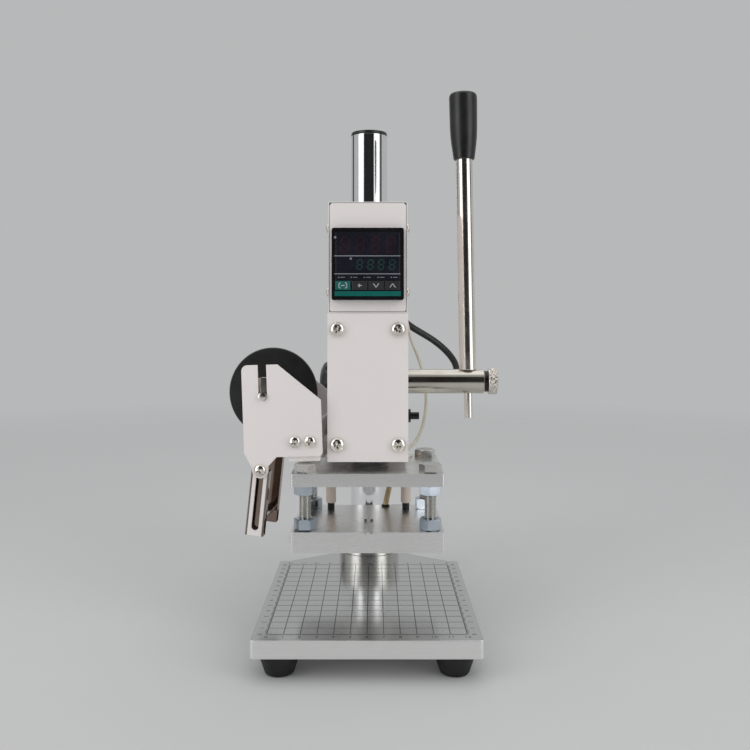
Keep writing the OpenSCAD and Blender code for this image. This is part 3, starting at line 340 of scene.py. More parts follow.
baseAluminium = brushedAluminium("baseAluminium", brushed["side"], (0.3, 0.45), (6, 260, 260))
ruledAluminium = brushedAluminium("ruledAluminium", brushed["ruled"], (0.12, 0.2), (6, 260, 260))
plateAluminium = brushedAluminium("plateAluminium", brushed["press"], (0.22, 0.36), (6, 200, 260))

hardChrome, brightNickel, zincSteel = metal("hardChrome"), metal("brightNickel"), metal("zincSteel")
blueZinc, milledSteel, turnedMetal = metal("blueZinc"), metal("milledSteel", (1, 4, 4)), metal("turnedMetal", (40, 1, 1))
bronzeBush, darkSteel = metal("bronzeBush"), metal("darkSteel")
hubShadedNickel, shadedThreadRoot = metal("hubShadedNickel"), metal("shadedThreadRoot")
blackRubber, blackPlastic, blackGloss = skin("blackRubber"), skin("blackPlastic"), skin("blackGloss")
greyKey, tealKey, creamLead, blackCord = skin("greyKey"), skin("tealKey"), skin("creamLead"), skin("blackCord")
brassPin = skin("brassPin", metallic=1.0)
print("stage: metals, paint and plastics mixed")


# Makes an object of a bmesh: its place stays in the mesh, and corners under the angle are shaded smooth
def piece(name, bm, finishes, body, smooth=38, weigh=True):
    mesh = bpy.data.meshes.new(name)
    bm.to_mesh(mesh)
    bm.free()
    for finish in finishes if isinstance(finishes, list) else [finishes]:
        mesh.materials.append(finish.material)
    mesh.shade_smooth()
    mesh.set_sharp_from_angle(angle=math.radians(smooth))
    made = bpy.data.objects.new(name, mesh)
    scene.collection.objects.link(made)
    if weigh:
        weighted = made.modifiers.new("weighted", "WEIGHTED_NORMAL")
        weighted.keep_sharp = True
    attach(made, body)
    return made


# Rounds every edge that turns by more than the angle. Width is in millimetres
def rounded(bm, width, segments=2, angle=30):
    edges = [e for e in bm.edges if e.is_manifold and e.calc_face_angle() > math.radians(angle)]
    bmesh.ops.bevel(bm, geom=edges, offset=width * mm, offset_type="OFFSET", affect="EDGES", segments=segments,
        profile=0.5, material=-1, clamp_overlap=True, loop_slide=True)


# A merged copy of a node's own mesh
def copied(*nodes):
    bm = bmesh.new()
    for node in nodes:
        bm.from_mesh(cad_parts[node].data)
    bmesh.ops.remove_doubles(bm, verts=bm.verts, dist=2e-6)
    bmesh.ops.dissolve_limit(bm, angle_limit=math.radians(1), verts=bm.verts, edges=bm.edges)
    for face in bm.faces:
        face.material_index = 0
    return bm


# The node's shape with softened edges stands for the node
def softened(name, node, finish, body, width=0.3, segments=2, angle=30):
    bm = copied(node)
    rounded(bm, width, segments, angle)
    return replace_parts(piece(name, bm, finish, body), node)


# Turns a chain of (radius, height) points about Z, in millimetres, and softens its corners
def turned(profile, steps=96, soft=0.3, angle=25, segments=2):
    bm = bmesh.new()
    chain = [bm.verts.new((r * mm, 0, z * mm)) for r, z in profile]
    for first, second in zip(chain, chain[1:]):
        bm.edges.new((first, second))
    bmesh.ops.spin(bm, geom=bm.verts[:] + bm.edges[:], axis=(0, 0, 1), cent=(0, 0, 0), angle=2 * math.pi,
        steps=steps, use_merge=True, use_duplicate=False)
    bmesh.ops.remove_doubles(bm, verts=bm.verts, dist=2e-6)
    bmesh.ops.recalc_face_normals(bm, faces=bm.faces)
    if soft:
        rounded(bm, soft, segments, angle)
    return bm


def moved(bm, matrix):
    bmesh.ops.transform(bm, verts=bm.verts, matrix=matrix)
    return bm


# Gives every face of a bmesh the same place in the list of finishes
def tinted(bm, index):
    for face in bm.faces:
        face.material_index = index
    return bm


# Adds one bmesh to another
def joined(target, *others):
    for other in others:
        mesh = bpy.data.meshes.new("joining")
        other.to_mesh(mesh)
        other.free()
        target.from_mesh(mesh)
        bpy.data.meshes.remove(mesh)
    return target


def repeated(make, places):
    bm = bmesh.new()
    for place in places:
        joined(bm, moved(make(), place))
    return bm


def at(x, y, z, turn=None):
    shift = Matrix.Translation((x * mm, y * mm, z * mm))
    return shift @ turn if turn else shift


# Turns that lead Z along another direction
toX, toLeft = Matrix.Rotation(math.radians(90), 4, "Y"), Matrix.Rotation(math.radians(-90), 4, "Y")
toFront, toBack = Matrix.Rotation(math.radians(90), 4, "X"), Matrix.Rotation(math.radians(-90), 4, "X")

# Mains lead: chosen points in millimetres from its gland to the bench, then turns worked out below
lead = {
    "diameter": 6, "length": 1.486, "exit": (20.5, 2, 231.7),
    "bend": ((0.05, 0.08, 0.21), (0.05, 0.08, 0.03)),
    "hanging": [(20.5, 2, 231.7), (20.5, 12, 231.7), (20.6, 22, 230.2), (21.2, 31.6, 226.8),
        (22.8, 40.6, 221.8), (26.6, 48.6, 215.6), (32.8, 54.8, 209.4), (40.8, 59.2, 204),
        (49.8, 62.8, 199), (58.8, 66, 193.4), (67, 69.6, 186.8), (73.8, 74, 179.8), (78.6, 79.8, 172.8),
        (80.8, 87, 166), (80, 94.6, 160), (76.4, 101.4, 155), (70.2, 106.4, 151.4), (62.4, 109.2, 149.4),
        (53.8, 110, 148.6), (45, 108.8, 148), (36.6, 105.8, 146.6), (28.8, 101.2, 143.4),
        (22, 95.8, 138), (16.4, 90.4, 130.6), (12.2, 85.8, 121.6), (9.4, 82.2, 111.4),
        (7.6, 79.6, 100.6), (6.8, 78, 89.4), (6.6, 77.2, 78), (6.8, 77.2, 66.4), (7.6, 78, 54.6),
        (9, 80, 43), (10.8, 83.6, 32), (12.6, 89, 22), (14.6, 96, 12.4), (16.2, 104.2, 5.8),
        (17.4, 112.6, 3.2), (18, 119, 3)],
    "coil": {"middle": (-28, 128), "radius": 46.5, "step": 6.1, "inward": 3.35, "turns": 4.75, "perTurn": 24,
        "low": 3, "layer": 6.2, "climb": 3},
    "tail": [(-17.4, 95, 9.3), (-6, 98.8, 9.4), (4.6, 103.6, 9.9), (13.6, 107.8, 10.4),
        (19.4, 110.9, 10.5), (24.5, 114.8, 10.5), (28.5, 120, 10.4), (31.1, 126.3, 10.3),
        (32, 133, 10.3)],
}


# The coil winds inwards on the bench, then climbs onto itself and winds outwards again
def coilPoint(turn):
    coil = lead["coil"]
    radius = coil["radius"] - coil["step"] * min(turn, coil["inward"])
    radius += coil["step"] * max(0, turn - coil["inward"])
    rise = min(1, max(0, (turn - coil["climb"]) / (coil["inward"] - coil["climb"])))
    angle = 2 * math.pi * turn
    return (coil["middle"][0] + radius * math.cos(angle), coil["middle"][1] + radius * math.sin(angle),
        coil["low"] + coil["layer"] * rise)


# A round mesh tube along chosen points, smoothed the way a bent lead is, and the line in its middle
def tube(name, points, diameter, resolution=6, sides=6):
    curve = bpy.data.curves.new(name, "CURVE")
    curve.dimensions, curve.resolution_u = "3D", resolution
    curve.bevel_resolution, curve.use_fill_caps = sides, True
    spline = curve.splines.new("NURBS")
    spline.points.add(len(points) - 1)
    for knot, point in zip(spline.points, points):
        knot.co = (*(Vector(point) * mm), 1)
    spline.order_u, spline.use_endpoint_u = 4, True
    holder = bpy.data.objects.new(name, curve)
    scene.collection.objects.link(holder)
    made = []
    for depth in (0, diameter * mm / 2):
        curve.bevel_depth = depth
        bpy.context.view_layer.update()
        made.append(bpy.data.meshes.new_from_object(holder.evaluated_get(bpy.context.evaluated_depsgraph_get())))
    line = [list(v.co) for v in made[0].vertices]
    bpy.data.meshes.remove(made[0])
    bpy.data.objects.remove(holder)
    bpy.data.curves.remove(curve)
    return made[1], line


# A lead's mesh becomes a smooth-shaded object in its finish, its place kept in the mesh
def bentLead(name, mesh, finish, slot, bodies, start, end):
    mesh.materials.clear()
    mesh.materials.append(finish.material)
    mesh.shade_smooth()
    made = bpy.data.objects.new(name, mesh)
    scene.collection.objects.link(made)
    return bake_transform(made)


count = int(lead["coil"]["turns"] * lead["coil"]["perTurn"])
turnPoints = [coilPoint(i / lead["coil"]["perTurn"]) for i in range(count + 1)]
mesh, leadLine = tube("mainsLead", lead["hanging"] + turnPoints + lead["tail"], lead["diameter"], 4, 5)
mainsLead = bentLead("mainsLead", mesh, blackCord, "black_cord", ("head", "frame"), *lead["bend"])
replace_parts(mainsLead, "mains_cord", "cord_coil")

# Plug: its moulded body with grip ribs, a ringed relief, two flat blades and an earth pin
plug = {"place": (32, 133, 10.3), "relief": 22, "body": 26, "width": 27, "thick": 20, "rings": 6}
bm = copied("mains_plug")
bodyEnd = (plug["place"][1] + plug["relief"] + plug["body"] + 0.5) * mm
rounded(bm, 0.9, 3, 50)
for face in bm.faces:
    face.material_index = 1 if face.calc_center_median().y > bodyEnd else 0
for i in range(plug["rings"]):
    share = (i + 0.7) / plug["rings"]
    radius = 3.7 + 1.9 * share
    ring = turned([(2, -0.8), (radius, -0.8), (radius + 0.5, 0), (radius, 0.8), (2, 0.8), (2, -0.8)], 32, 0.1)
    joined(bm, moved(ring, at(plug["place"][0], plug["place"][1] + plug["relief"] * share * 0.94,
        plug["place"][2], toBack)))
for i in range(5):
    for side in (-1, 1):
        rib = bmesh.new()
        bmesh.ops.create_cube(rib, size=mm)
        bmesh.ops.transform(rib, verts=rib.verts, matrix=Matrix.Diagonal((1.2, 1.3, 11, 1)))
        rounded(rib, 0.35, 2)
        joined(bm, moved(rib, at(plug["place"][0] + side * (plug["width"] / 2 - 0.1),
            plug["place"][1] + plug["relief"] + 6 + 3.2 * i, plug["place"][2])))
plugPiece = piece("mainsPlug", bm, [blackCord, brassPin], "frame")
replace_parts(plugPiece, "mains_plug")
print("stage: mains lead laid")

# Base: a brushed slab with softened edges
bm = copied("base_plate")
rounded(bm, 0.45, 3)
for face in bm.faces:
    face.material_index = 1 if face.normal.z > 0.9 and face.calc_center_median().z > 24.9 * mm else 0
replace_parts(piece("baseSlab", bm, [baseAluminium, ruledAluminium], "frame"), "base_plate")

# Engraved rule of 120 x 140 millimetres: grid lines, ticks along its border and numerals outside it
ruleLook = {"left": -60, "front": -186, "wide": 120, "deep": 140, "line": 0.55, "thin": 0.3,
    "cell": 10, "numeral": 4.3, "out": 3.1}


def bar(bm, x0, y0, x1, y1, top=25.03, low=24.96):
    bmesh.ops.transform(bm, matrix=at((x0 + x1) / 2, (y0 + y1) / 2, (top + low) / 2)
        @ Matrix.Diagonal(((x1 - x0) * mm, (y1 - y0) * mm, (top - low) * mm, 1)),
        verts=bmesh.ops.create_cube(bm, size=1)["verts"])


# Letters and figures are drawn as text and turned into a mesh
def drawn(words, size, depth, bend=4):
    letters = bpy.data.curves.new("letters", "FONT")
    letters.body, letters.size, letters.extrude, letters.resolution_u = words, size * mm, depth * mm / 2, bend
    letters.align_x, letters.align_y = "CENTER", "CENTER"
    holder = bpy.data.objects.new("letters", letters)
    bm = bmesh.new()
    mesh = bpy.data.meshes.new_from_object(holder)
    bm.from_mesh(mesh)
    bpy.data.objects.remove(holder)
    bpy.data.curves.remove(letters)
    bpy.data.meshes.remove(mesh)
    bmesh.ops.remove_doubles(bm, verts=bm.verts, dist=1e-6)
    return bm


bm = bmesh.new()
left, front, cell, half = ruleLook["left"], ruleLook["front"], ruleLook["cell"], ruleLook["line"] / 2
right, back = left + ruleLook["wide"], front + ruleLook["deep"]
columns, rows = ruleLook["wide"] // cell, ruleLook["deep"] // cell
for i in range(columns + 1):
    bar(bm, left + cell * i - half, front, left + cell * i + half, back)
for i in range(rows + 1):
    bar(bm, left, front + cell * i - half, right, front + cell * i + half, 25.025)
fine = ruleLook["thin"] / 2
for i in range(1, ruleLook["wide"]):
    long = 2 if i % 5 == 0 else 1.3
    if i % cell:
        bar(bm, left + i - fine, front - long, left + i + fine, front)
        bar(bm, left + i - fine, back, left + i + fine, back + long)
for i in range(1, ruleLook["deep"]):
    long = 2 if i % 5 == 0 else 1.3
    if i % cell:
        bar(bm, left - long, front + i - fine, left, front + i + fine)
        bar(bm, right, front + i - fine, right + long, front + i + fine)
quarter, size, out = Matrix.Rotation(math.radians(-90), 4, "Z"), ruleLook["numeral"], ruleLook["out"]
for i in range(columns + 1):
    joined(bm, moved(drawn(str(i), size, 0.06, 2), at(left + cell * i, front - out - 0.9, 25)))
    joined(bm, moved(drawn(str(columns - i), size, 0.06, 2),
        at(left + cell * i, back + out + 0.9, 25, Matrix.Rotation(math.pi, 4, "Z"))))
for i in range(rows + 1):
    joined(bm, moved(drawn(str(i), size, 0.06, 2), at(left - out - 1.2, front + cell * i, 25, quarter)))
    joined(bm, moved(drawn(str(i), size, 0.06, 2), at(right + out + 1.2, front + cell * i, 25, quarter.inverted())))
ruleInk = skin("blackGloss")
ruleInk.material.name = "ruleInk"
piece("rulerMarks", bm, ruleInk, "frame", weigh=False)
print("stage: base slab and its engraved rule")

# Feet, socket, column and its cap
softened("rubberFeet", "rubber_feet", blackRubber, "frame", 0.6, 3)
softened("columnSocket", "column_socket", turnedMetal, "frame", 0.5, 3)
columnLook = {"outer": 15, "wall": 5, "low": 25, "top": 363}
outer, inner = columnLook["outer"], columnLook["outer"] - columnLook["wall"]
low, top = columnLook["low"], columnLook["top"]
bm = turned([(inner, low), (outer, low), (outer, top), (inner, top), (inner, low)], 128, 0.3)
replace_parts(piece("chromeColumn", bm, hardChrome, "frame"), "column")
softened("columnCap", "column_cap", blackPlastic, "frame", 0.4, 3)
print("stage: feet and column stood up")


# A closed skin about Z, grown ring by ring. A ring's radius and height may change with the angle
def ringed(count, rings):
    bm = bmesh.new()
    loop = bmesh.ops.create_circle(bm, cap_ends=True, radius=mm, segments=count)["verts"]
    for step, (radius, height) in enumerate(rings):
        if step:
            edges = {e for v in loop for e in v.link_edges if all(w in loop for w in e.verts)}
            grown = bmesh.ops.extrude_edge_only(bm, edges=list(edges))["geom"]
            loop = [v for v in grown if isinstance(v, bmesh.types.BMVert)]
        loop = set(loop)
        for vert in loop:
            a = math.atan2(vert.co.y, vert.co.x)
            reach = radius(a) if callable(radius) else radius
            vert.co = Vector((reach * math.cos(a), reach * math.sin(a), height(a) if callable(height) else height)) * mm
    bmesh.ops.edgeloop_fill(bm, edges=[e for e in bm.edges if e.is_boundary])
    bmesh.ops.remove_doubles(bm, verts=bm.verts, dist=1e-7)
    bmesh.ops.recalc_face_normals(bm, faces=bm.faces)
    return bm


# Pan head with a cross recess, its seat at zero and its shank below. Millimetres
screwLook = {"arm": 0.27, "corner": 15, "depth": 0.45, "edge": 0.3, "steps": 72}


def panScrew(d, h, shank, length):
    arm = d * screwLook["arm"]
    halfArm = arm * math.tan(math.radians(screwLook["corner"]))

    def cross(a):
        c, s = max(abs(math.cos(a)), 1e-6), max(abs(math.sin(a)), 1e-6)
        return max(min(arm / c, halfArm / s), min(arm / s, halfArm / c))

    def dome(r):
        edge = h * screwLook["edge"]
        return edge + (h - edge) * math.sqrt(max(0, 1 - (r / (d / 2)) ** 2))

    depth = h * screwLook["depth"]
    rings = [(shank / 2 - 0.4, -length), (shank / 2, -length + 0.4), (shank / 2, 0), (d / 2 - 0.15, 0), (d / 2, 0.15)]
    rings += [(d / 2 * k, dome(d / 2 * k)) for k in (1, 0.985, 0.94, 0.86, 0.74, 0.62)]
    rings += [(lambda a: cross(a) * 1.08, lambda a: dome(cross(a) * 1.08)),
        (cross, lambda a: dome(cross(a)) - 0.08), (lambda a: cross(a) * 0.8, h - depth), (0.02, h - depth * 1.25)]
    return ringed(screwLook["steps"], rings)


# Hexagon with its corners turned down as on a bought bolt head or nut
def hexagon(af, low, high, bore=0.0, both=False):
    flat = af / 2

    def side(a):
        return flat / math.cos((a + math.pi / 6) % (math.pi / 3) - math.pi / 6)

    def drop(a):
        return max(0, side(a) - flat * 0.97) * 0.5

    rings = [(max(bore - 0.4, 0.05), low)] if not bore else [(bore, low + 0.4), (bore + 0.4, low)]
    rings += [(flat * 0.97, low), (side, lambda a: low + drop(a))] if both else [(side, low)]
    rings += [(side, lambda a: high - drop(a)), (flat * 0.97, high)]
    rings += [(bore + 0.4, high), (bore, high - 0.4)] if bore else [(flat * 0.7, high), (flat * 0.62, high - 0.15)]
    if bore:
        rings.append((bore, low + 0.4))
    return ringed(72, rings)


# A thread is one pitch of its profile, turned and raised
def thread(outer, pitch, low, high, steps=24):
    deep = 0.55 * pitch
    turns = int((high - low) / pitch)
    bm = bmesh.new()
    chain = [bm.verts.new((r * mm, 0, (low + z * pitch) * mm))
        for r, z in ((outer - deep, 0), (outer - deep, 0.12), (outer, 0.44), (outer, 0.56), (outer - deep, 0.88),
            (outer - deep, 1))]
    for first, second in zip(chain, chain[1:]):
        bm.edges.new((first, second))
    bmesh.ops.spin(bm, geom=bm.verts[:] + bm.edges[:], axis=(0, 0, 1), cent=(0, 0, 0), angle=2 * math.pi * turns,
        steps=steps * turns, dvec=(0, 0, pitch * mm / steps), use_merge=False, use_duplicate=False)
    bmesh.ops.remove_doubles(bm, verts=bm.verts, dist=1e-6)
    bmesh.ops.holes_fill(bm, edges=bm.edges, sides=0)
    bmesh.ops.recalc_face_normals(bm, faces=bm.faces)
    return bm

# Head: folded side plates, clamp block and front cover in paint, with fine soft edges
softened("leftSide", "side_plate_left", whitePaint, "head", 0.35)
softened("rightSide", "side_plate_right", whitePaint, "head", 0.35)
softened("clampBlock", "clamp_block", whitePaint, "head", 0.5, 3)
softened("frontCover", "front_cover", whitePaint, "head", 0.45, 3)
softened("housing", "controller_housing", whitePaint, "head", 0.5, 3)
softened("housingBack", "housing_back", whitePaint, "head", 0.3)
softened("headScrews", "head_screws", zincSteel, "head", 0.2)
softened("guideSetScrew", "guide_set_screw", darkSteel, "head", 0.25)

coverScrews = {"x": 20.4, "z": (129.7, 206.6), "y": -129, "d": 9.8, "h": 3.4, "shank": 4, "length": 7, "turn": (12, 48, -20, 33)}
places = []
for i, (x, z) in enumerate((x, z) for z in coverScrews["z"] for x in (-coverScrews["x"], coverScrews["x"])):
    spun = Matrix.Rotation(math.radians(coverScrews["turn"][i]), 4, "Z")
    places.append(at(x, coverScrews["y"], z, toFront @ spun))
bm = repeated(lambda: panScrew(coverScrews["d"], coverScrews["h"], coverScrews["shank"], coverScrews["length"]), places)
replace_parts(piece("coverScrews", bm, brightNickel, "head", 42), "front_cover_screws")

sideScrews = {"x": 26.5, "y": (-120.5, -29.5), "z": (231.7, 275), "d": 6, "h": 1.9, "shank": 3, "length": 3.6}
places = [at(s * sideScrews["x"], y, z, (toX if s > 0 else toLeft) @ Matrix.Rotation(y * 7 + z, 4, "Z"))
    for s in (-1, 1) for y in sideScrews["y"] for z in sideScrews["z"]]
bm = repeated(lambda: panScrew(sideScrews["d"], sideScrews["h"], sideScrews["shank"], sideScrews["length"]), places)
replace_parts(piece("housingScrews", bm, brightNickel, "head", 42), "housing_screws")
print("stage: head and its screws")

# Clamp knob behind the head on the left
softened("clampKnob", "clamp_knob", blackPlastic, "knob", 0.6, 3)

# Controller: bezel, tinted window with unlit figures, keys with their signs, coloured strip
panel = {"z": 250.1, "face": -133, "window": (42, 20.4, -10.2), "keyZ": -14.3, "pitch": 11, "key": (10, 6),
    "big": {"x": (-15.3, -5.1, 5.1, 15.3), "z": 12.75, "size": (6.2, 11.2), "bar": 1.35},
    "small": {"x": (-5.4, 1.8, 8.9, 16.1), "z": -0.5, "size": (4.3, 7.2), "bar": 0.95},
    "marks": (-17, -8.7, 0, 9.1, 17.8)}
softened("bezel", "controller_bezel", blackGloss, "head", 0.35, 3)
inks = {"redFigure": ((0.024, 0.009, 0.013), (0.034, 0.011, 0.015)), "greenFigure": ((0.014, 0.042, 0.036), (0.019, 0.056, 0.046)),
    "paleInk": ((0.2, 0.21, 0.23), (0.27, 0.28, 0.3)), "whiteInk": ((0.42, 0.44, 0.45), (0.52, 0.54, 0.55)),
    "windowTint": ((0.008, 0.009, 0.016), (0.011, 0.012, 0.022)), "tealStrip": ((0.004, 0.115, 0.098), (0.006, 0.135, 0.115))}
for name, tones in inks.items():
    skins[name] = {"tones": tones, "gloss": (0.2, 0.32), "texture": (2400, 0.002), "coat": 0.2}
redFigure, greenFigure, paleInk, whiteInk, windowTint, tealStrip = (skin(name) for name in inks)
softened("window", "display_window", windowTint, "head", 0.15)


# A flat stroke on the panel between two points, counted from the dial's centre
def stroke(bm, x0, z0, x1, z1, width, face, thick=0.05):
    run = Vector((x1 - x0, 0, z1 - z0))
    turn = Matrix.Rotation(-math.atan2(run.z, run.x), 4, "Y")
    made = bmesh.ops.create_cube(bm, size=1)["verts"]
    bmesh.ops.transform(bm, verts=made, matrix=at((x0 + x1) / 2, face - thick / 2 + 0.01, panel["z"] + (z0 + z1) / 2)
        @ turn @ Matrix.Diagonal((run.length * mm, thick * mm, width * mm, 1)))
    return made


# Seven bars of one figure, leaning a little
def figure(bm, x, z, size, width, face):
    w, h, lean = size[0] / 2 - width / 2, size[1] / 2 - width / 2, 0.1
    gap = width * 0.5

    def spot(u, v):
        return x + u * w + lean * v * h, z + v * h
    for v in (-1, 0, 1):
        (x0, z0), (x1, z1) = spot(-1, v), spot(1, v)
        stroke(bm, x0 + gap, z0, x1 - gap, z1, width, face)
    for u in (-1, 1):
        for v in (0, 1):
            (x0, z0), (x1, z1) = spot(u, v - 1), spot(u, v)
            run = Vector((x1 - x0, z1 - z0)).normalized() * gap
            stroke(bm, x0 + run.x, z0 + run.y, x1 - run.x, z1 - run.y, width, face)

face = panel["face"]
for name, ink, group in (("upperFigures", redFigure, "big"), ("lowerFigures", greenFigure, "small")):
    look = panel[group]
    bm = bmesh.new()
    for x in look["x"]:
        figure(bm, x, look["z"], look["size"], look["bar"], face)
    piece(name, bm, ink, "head", weigh=False)
bm = bmesh.new()
for line in ((-22.2, 5.3, 21.6, 5.3, 0.6), (-22.2, -6.6, 21.6, -6.6, 0.6), (-22.3, 17.6, -20.9, 17.6, 1.4),
        (-11.9, 3.5, -10.6, 3.5, 1.3)):
    stroke(bm, *line, face)
for x in panel["marks"]:
    stroke(bm, x - 2.6, -8.9, x - 1.9, -8.9, 0.7, face)
    stroke(bm, x - 1.1, -8.9, x + 1.9, -8.9, 0.4, face)
piece("panelLines", bm, paleInk, "head", weigh=False)
bm = bmesh.new()
stroke(bm, -22, -19.7, 22, -19.7, 3.3, face, 0.12)
piece("panelStrip", bm, tealStrip, "head", weigh=False)

# Seams around the housing's front sheet, with open corners at its top: thin black strips of painted shade stand for the
# gaps
seamShade = {"face": -127.5, "side": 25.75, "low": 218.6, "high": 291.35, "width": 0.28, "corner": 1.3}
bm = bmesh.new()
side, low, high = seamShade["side"], seamShade["low"] - panel["z"], seamShade["high"] - panel["z"]
for line in ((-side, low, -side, high), (side, low, side, high), (-side, low, side, low), (-side, high, side, high)):
    stroke(bm, *line, seamShade["width"], seamShade["face"])
for s in (-1, 1):
    stroke(bm, s * (side - seamShade["corner"]), high - 0.1, s * side, high - seamShade["corner"], 0.7, seamShade["face"])
    stroke(bm, s * (side - 0.9), low, s * side, low + 0.9, 0.4, seamShade["face"])
piece("housingSeamShade", bm, darkSteel, "head", weigh=False)

# Each key rides its own slide, its sign in pale ink on its face
signs = {
    "key_set": [(-2.6, 1.2, -2.6, -1.2), (-2.6, 1.2, -1.5, 1.9), (-2.6, -1.2, -1.5, -1.9), (2.6, 1.2, 2.6, -1.2),
        (2.6, 1.2, 1.5, 1.9), (2.6, -1.2, 1.5, -1.9), (-1.2, 0, 1.2, 0)],
    "key_shift": [(-0.9, 0, 0.3, 1.1), (-0.9, 0, 0.3, -1.1), (-0.6, 0, 1.7, 0)],
    "key_down": [(-1.8, 1.3, 0, -1.3), (0, -1.3, 1.8, 1.3)],
    "key_up": [(-1.8, -1.3, 0, 1.3), (0, 1.3, 1.8, -1.3)],
}
keyNodes = {"key_set": "set_key", "key_shift": "shift_key", "key_down": "down_key", "key_up": "up_key"}
for i, (body, sign) in enumerate(signs.items()):
    finish, slot = (tealKey, "teal_key") if i == 0 else (greyKey, "grey_key")
    softened(body + "Cap", keyNodes[body], finish, body, 0.45, 3)
    bm = bmesh.new()
    x = (i - 1.5) * panel["pitch"]
    for x0, z0, x1, z1 in sign:
        stroke(bm, x + x0, panel["keyZ"] + z0, x + x1, panel["keyZ"] + z1, 0.5, face - 0.5, 0.06)
    piece(body + "Sign", bm, whiteInk, body, weigh=False)
print("stage: controller with its figures and keys")

# Press unit: ram, two plates, levelling bolts with their threads and nuts
press = {"x": 41.4, "y": (-133.8, -72.2), "bolt": 4, "pitch": 1.25, "threadLow": 67.2, "threadHigh": 112.6,
    "headLow": 112.8, "headHigh": 118.1, "af": 13, "nuts": ((97.8, 104.3), (74.8, 82.3)), "turn": (20, 27, -13, 38)}
softened("ram", "ram", milledSteel, "ram_unit", 0.15)
softened("pressPlate", "press_plate", plateAluminium, "ram_unit", 0.5, 3)
softened("heaterPlate", "heater_plate", plateAluminium, "ram_unit", 0.4, 3)
softened("ramScrews", "ram_screws", darkSteel, "ram_unit", 0.2)
places = [(x, y) for y in press["y"] for x in (-press["x"], press["x"])]
spins = [Matrix.Rotation(math.radians(a), 4, "Z") for a in press["turn"]]


# The bolt's core below the thread crests takes the darker thread-root steel, as painted shade in the valleys
def bolt():
    core = press["bolt"] - 0.5
    bm = turned([(0, press["threadLow"] - 0.2), (core, press["threadLow"] - 0.2), (core, press["headLow"] + 0.5),
        (0, press["headLow"] + 0.5)], 24, 0)
    return joined(tinted(bm, 1), thread(press["bolt"] - 0.02, press["pitch"], press["threadLow"], press["threadHigh"]),
        hexagon(press["af"], press["headLow"], press["headHigh"]))


bm = repeated(bolt, [at(x, y, 0, spin) for (x, y), spin in zip(places, spins)])
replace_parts(piece("levellingBolts", bm, [zincSteel, shadedThreadRoot], "ram_unit", 28), "levelling_bolts")
bm = bmesh.new()
for k, (low, high) in enumerate(press["nuts"]):
    for (x, y), turn in zip(places, press["turn"]):
        joined(bm, moved(hexagon(press["af"], low, high, press["bolt"] + 0.05, True),
            at(x, y, 0, Matrix.Rotation(math.radians(turn * 2 + 50 * k), 4, "Z"))))
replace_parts(piece("levellingNuts", bm, blueZinc, "ram_unit", 28), "levelling_nuts")
print("stage: press unit and its bolts")

# Woven sleeves of the heater leads: two crossing strands in the relief, and in the colour as painted shade that darkens
# the hollows between them
weave = {"light": (0.88, 0.77, 0.68), "dark": (0.6, 0.47, 0.39), "around": 16, "up": 5200, "deep": 0.09}


# Strands wind both ways around an upright line, given in metres
def woven(name, look, middle, metallic=0.0):
    made = Finish(name, metallic=metallic)
    x, y, z = made.axes()
    turn = made.node("ShaderNodeMath", {"operation": "ARCTAN2"}, [y - middle[1], x - middle[0]]) * look["around"]
    first, second = (turn + z * look["up"]).wave(), (turn - z * look["up"]).wave()
    height = first.sum("MAXIMUM", first, second) * 0.5 + 0.5
    # The colour follows the strand height: the hollows get the dark tone as painted shade
    made.set("baseColor", made.ramp(height * 0.8 + made.noise(300, 3) * 0.2, (0.35, look["dark"]), (0.75, look["light"])))
    made.set("roughness", made.range(made.noise(400, 3), 0.55, 0.75) if not metallic else made.range(height, 0.5, 0.3))
    made.set("normal", made.bump(height, look["deep"]))
    return made


sleeves = {"x": 27.2, "y": -77, "low": 79.8, "high": 114.8, "d": 7.2, "boot": 5, "bootLow": 66}
for side, name in ((-1, "leftSleeve"), (1, "rightSleeve")):
    fibre = woven(name + "Weave", weave, (side * sleeves["x"] * mm, sleeves["y"] * mm))
    r, low, high = sleeves["d"] / 2, sleeves["low"], sleeves["high"]
    bm = turned([(0, low), (r - 0.3, low), (r, low + 0.6), (r - 0.12, (low + high) / 2), (r, high - 0.8),
        (r - 0.5, high), (0, high)], 64, 0.15)
    boot = turned([(0, sleeves["bootLow"]), (sleeves["boot"] / 2, sleeves["bootLow"]),
        (sleeves["boot"] / 2, low + 0.3), (0, low + 0.3)], 48, 0.3)
    joined(bm, tinted(boot, 1))
    made = piece(name, moved(bm, at(side * sleeves["x"], sleeves["y"], 0)), [fibre, blackRubber], "ram_unit",
        45)
    if side > 0:
        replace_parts(made, "lead_sleeves")


# Cream heater leads laid from the head down to the press unit
leads = {
    "rightHeaterLead": [(8, -26, 225), (8.6, -21.6, 225), (13, -18.8, 224.6), (19, -18.4, 223.8), (24, -18.4, 222.6),
        (28, -18.5, 219.2), (30.4, -18.7, 212), (31.6, -19, 204), (33.8, -19.8, 196), (38, -21.8, 186),
        (41.8, -25.4, 175), (44, -31, 164), (44.8, -39, 153), (43.2, -50, 140), (39.6, -60, 129.4),
        (34.8, -69, 122.4), (30, -75.4, 119.6), (27.8, -76.8, 118), (27.2, -77, 116.4), (27.2, -77, 114.4)],
    "leftHeaterLead": [(-27.2, -77, 114.4), (-27.2, -77, 115.4), (-26.5, -76.4, 116.4), (-24.6, -74.8, 116.8),
        (-20, -70.8, 116.8), (-13.4, -64.8, 116.8), (-10.6, -62.2, 118.8), (-9, -60, 122.8), (-8, -57.5, 128.8),
        (-7.5, -55, 135), (-7, -52, 150), (-6, -47, 170), (-4, -41, 190), (-3, -38.5, 210), (-3, -38.5, 238)],
}
bends = {"rightHeaterLead": ((0.044, -0.031, 0.164), (0.0276, -0.0765, 0.118)),
    "leftHeaterLead": ((-0.006, -0.047, 0.17), (-0.0246, -0.0748, 0.1168))}
